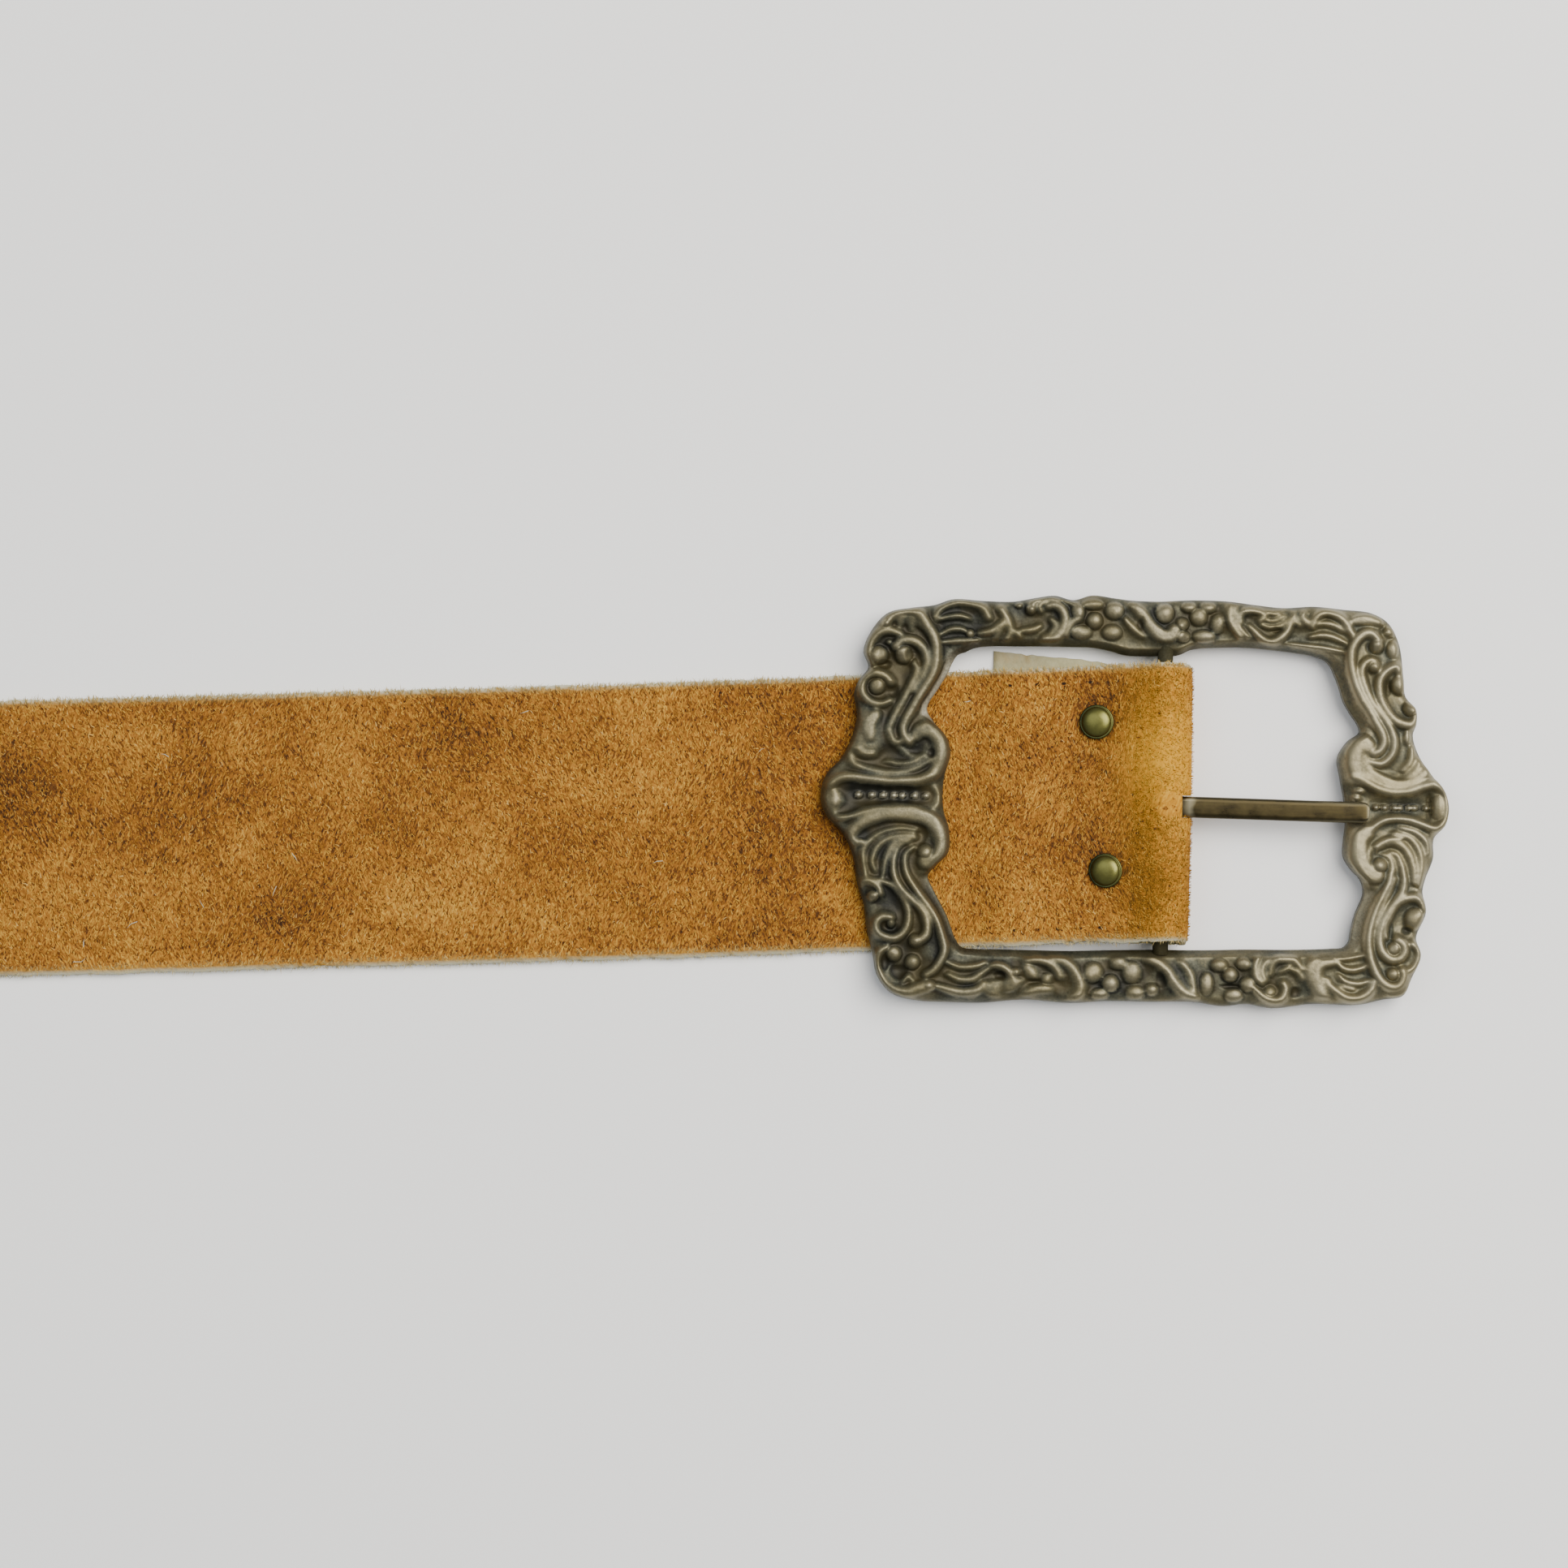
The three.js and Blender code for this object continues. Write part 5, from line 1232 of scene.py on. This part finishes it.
# Prong
# A strip of bronze-toned brass, wound round the centre bar as an eye and drawn out to a straight
# shank, flat on top with chamfered sides. It lies over the fold and rests on the right of the frame.
PRONG_WIDE = 3.45
PRONG_SKEW = math.radians(-0.9)
PRONG_TIP = 37.4 - BAR_X
PRONG_THICK = 1.7
PRONG_START = 0.95
PRONG_RISE = 1.42
TIP_BEND = 1.4
EYE_MIDDLE = 1.905


def station(reach_out, thick=PRONG_THICK, wide=1.0):
    """A place on the shank: how far out, how far over the bar's middle, how thick, what share wide."""
    return (reach_out, PRONG_START + PRONG_RISE * reach_out / PRONG_TIP, thick, wide)


# Places along the prong: out from the bar's middle, over it, how thick, what share of the width
eye_turns = np.linspace(math.radians(-6), math.radians(-305), 40)
path = [(EYE_MIDDLE * math.cos(a), EYE_MIDDLE * math.sin(a), 0.65, 0.95) for a in eye_turns]
path += [(1.7, 1.32, 0.95, 0.97), (2.4, 1.08, 1.4, 1.0), (3.2, 0.97, 1.65, 1.0)]
path += [station(reach_out) for reach_out in np.linspace(4.2, PRONG_TIP - TIP_BEND, 26)]
for turn in np.linspace(0.12, 1, 9) * math.pi / 2:
    reach_out = PRONG_TIP - TIP_BEND + TIP_BEND * math.sin(turn)
    thick = PRONG_THICK * (0.45 + 0.55 * math.cos(turn) ** 0.5)
    path.append(station(reach_out, thick, max(math.cos(turn) ** 0.42, 0.3)))
path = np.array(path)
heading = np.arctan2(np.gradient(path[:, 1]), np.gradient(path[:, 0]))
ROUND = [
    # across, up: a flat top, two chamfers, straight sides and a flat underside, as shares of a half
    (-0.99, 0.3), (-0.95, 0.62), (-0.84, 0.86), (-0.74, 0.96),
    (-0.5, 1.0), (0.0, 1.0), (0.5, 1.0),
    (0.74, 0.96), (0.84, 0.86), (0.95, 0.62), (0.99, 0.3),
    (1.0, -0.1), (1.0, -0.6), (0.93, -0.88), (0.75, -1.0), (0.0, -1.0),
    (-0.75, -1.0), (-0.93, -0.88), (-1.0, -0.6), (-1.0, -0.1), (-0.99, 0.3),
]
ring_across, ring_up = np.array(ROUND).T
up = path[:, 2:3] / 2 * ring_up[None, :]
prong_x = path[:, 0:1] - np.sin(heading)[:, None] * up
prong_z = path[:, 1:2] + np.cos(heading)[:, None] * up
prong_y = PRONG_WIDE / 2 * path[:, 3:4] * ring_across[None, :]
turned_x = prong_x * math.cos(PRONG_SKEW) - prong_y * math.sin(PRONG_SKEW)
turned_y = prong_x * math.sin(PRONG_SKEW) + prong_y * math.cos(PRONG_SKEW)
prong_places = np.stack([BAR_X + turned_x, PRONG_Y + turned_y, bar_z + prong_z], axis=-1)
# Painted bright: the chamfers, more towards the tip, partly worn and partly a painted highlight, and a
# painted highlight on the shoulder above the bar and the very tip; a small dimple past the shoulder is
# painted shade
chamfer_wear_and_highlight = np.exp(-(((np.abs(ring_across[None, :]) - 0.88) / 0.09) ** 2)) * (ring_up[None, :] > 0.5)
shoulder_highlight = np.exp(-(((prong_x - 4.1) / 0.75) ** 2))
dimple_shade = np.exp(-(((prong_x - 4.9) / 0.4) ** 2) - ((prong_y + 0.3) / 0.8) ** 2)
tip_highlight = 0.9 * np.exp(-(((prong_x - PRONG_TIP) / 0.3) ** 2))
towards_tip = np.clip((prong_x - 20) / 8, 0, 1)
bright = tip_highlight + 0.42 * shoulder_highlight - 0.6 * dimple_shade + chamfer_wear_and_highlight * (0.08 + 0.35 * towards_tip)
prong = bent_strip("prong_bar", to_row(prong_places), {"bright": bright}, caps=True)


def bronze_material():
    """Bronze-toned brass of the prong: ground flat on top and browned, with the chamfers, shoulder and tip
    painted pale gold, partly wear and partly a painted highlight, a dimple in painted shade, and fine
    rubbing marks along it."""
    material, tree = new_material("browned_prong_bronze")
    spot = add(tree, "ShaderNodeTexCoord").outputs["Object"]
    stretched = add(tree, "ShaderNodeMapping", {"Vector": spot, "Scale": (220, 2600, 2600)}).outputs[0]
    rubbed = noise(tree, stretched, 1.0, 3.0)
    cloud = noise(tree, spot, 500, 4.0, 0.6)
    browned = window(tree, cloud, 0.3, 0.7, 0.1, 0.6)
    level = sums(tree, "ADD", browned, window(tree, rubbed, 0.3, 0.7, -0.1, 0.1))
    colour = mix(tree, level, linear("#272111"), linear("#463d22"))
    bright = window(tree, value_of(tree, "bright"), 0.0, 1.0)
    return surfaced(material, tree, {
        "Base Color": mix(tree, bright, colour, linear("#b3ab8c")),
        "Metallic": 0.85,
        "Roughness": window(tree, cloud, 0.3, 0.7, 0.26, 0.42),
        "Normal": bumped(tree, rubbed, 0.12, 0.00006),
    })


prong.data.materials.append(bronze_material())
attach(prong, "prong")
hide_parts("prong")


# Floor, light and camera
# A plain pale floor under soft studio light: a wide key from the upper right, a weak fill from the left.
# The camera looks straight down on the buckle end, as the belt lies in the picture.
MIDDLE_OF_VIEW = (-56.9, 2.02)
VIEW_WIDE = 253.1
CAMERA_UP = 600.0
VIEW_TURN = math.radians(-1.5)
SENSOR_WIDE = 36
LOOK_AT_HEIGHT = 5.0
FLOOR_HALF_METRES = 3.0


def floor_material():
    """Matt off-white paint of the floor, hardly uneven."""
    material, tree = new_material("plain_pale_floor")
    spot = add(tree, "ShaderNodeTexCoord").outputs["Object"]
    colour = mix(tree, noise(tree, spot, 3.0), linear("#f6f6f4"), linear("#fafaf8"))
    return surfaced(material, tree, {"Base Color": colour, "Roughness": 0.7})


bm = bmesh.new()
bmesh.ops.create_grid(bm, x_segments=1, y_segments=1, size=FLOOR_HALF_METRES)
floor = add_piece("floor", bm)
floor.data.materials.append(floor_material())


def softbox(name, right, up_page, height_above, size, energy, colour):
    """An area light aimed at the middle of the view; right and up_page are metres in the picture."""
    light = bpy.data.lights.new(name, "AREA")
    light.shape = "RECTANGLE"
    light.size, light.size_y = size
    light.energy = energy
    light.color = linear(colour)[:3]
    lamp = put(name, light)
    target = Vector(to_row(np.array([*MIDDLE_OF_VIEW, LOOK_AT_HEIGHT])))
    away = Matrix.Rotation(-VIEW_TURN, 4, "Z") @ Vector((right, up_page, height_above))
    lamp.location = target + away
    lamp.rotation_euler = away.to_track_quat("Z", "Y").to_euler()


softbox("key_softbox", 0.57, 0.36, 1.1, (1.05, 1.05), 31.0, "#fffbf5")
softbox("fill_softbox", -0.7, 0.4, 1.2, (0.8, 0.9), 5.0, "#f4f8ff")

world = bpy.data.worlds.new("studio")
bpy.context.scene.world = world
world.use_nodes = True
backdrop = world.node_tree.nodes["Background"].inputs
backdrop["Color"].default_value = linear("#c9ccd0")
backdrop["Strength"].default_value = 0.55

camera = bpy.data.cameras.new("camera")
camera.sensor_width = SENSOR_WIDE
camera.lens = SENSOR_WIDE * CAMERA_UP / VIEW_WIDE
camera.clip_start = 0.01
camera_object = put("camera", camera)
camera_object.location = Vector(to_row(np.array([*MIDDLE_OF_VIEW, LOOK_AT_HEIGHT + CAMERA_UP])))
camera_object.rotation_euler = (0, 0, VIEW_TURN)
bpy.context.scene.camera = camera_object
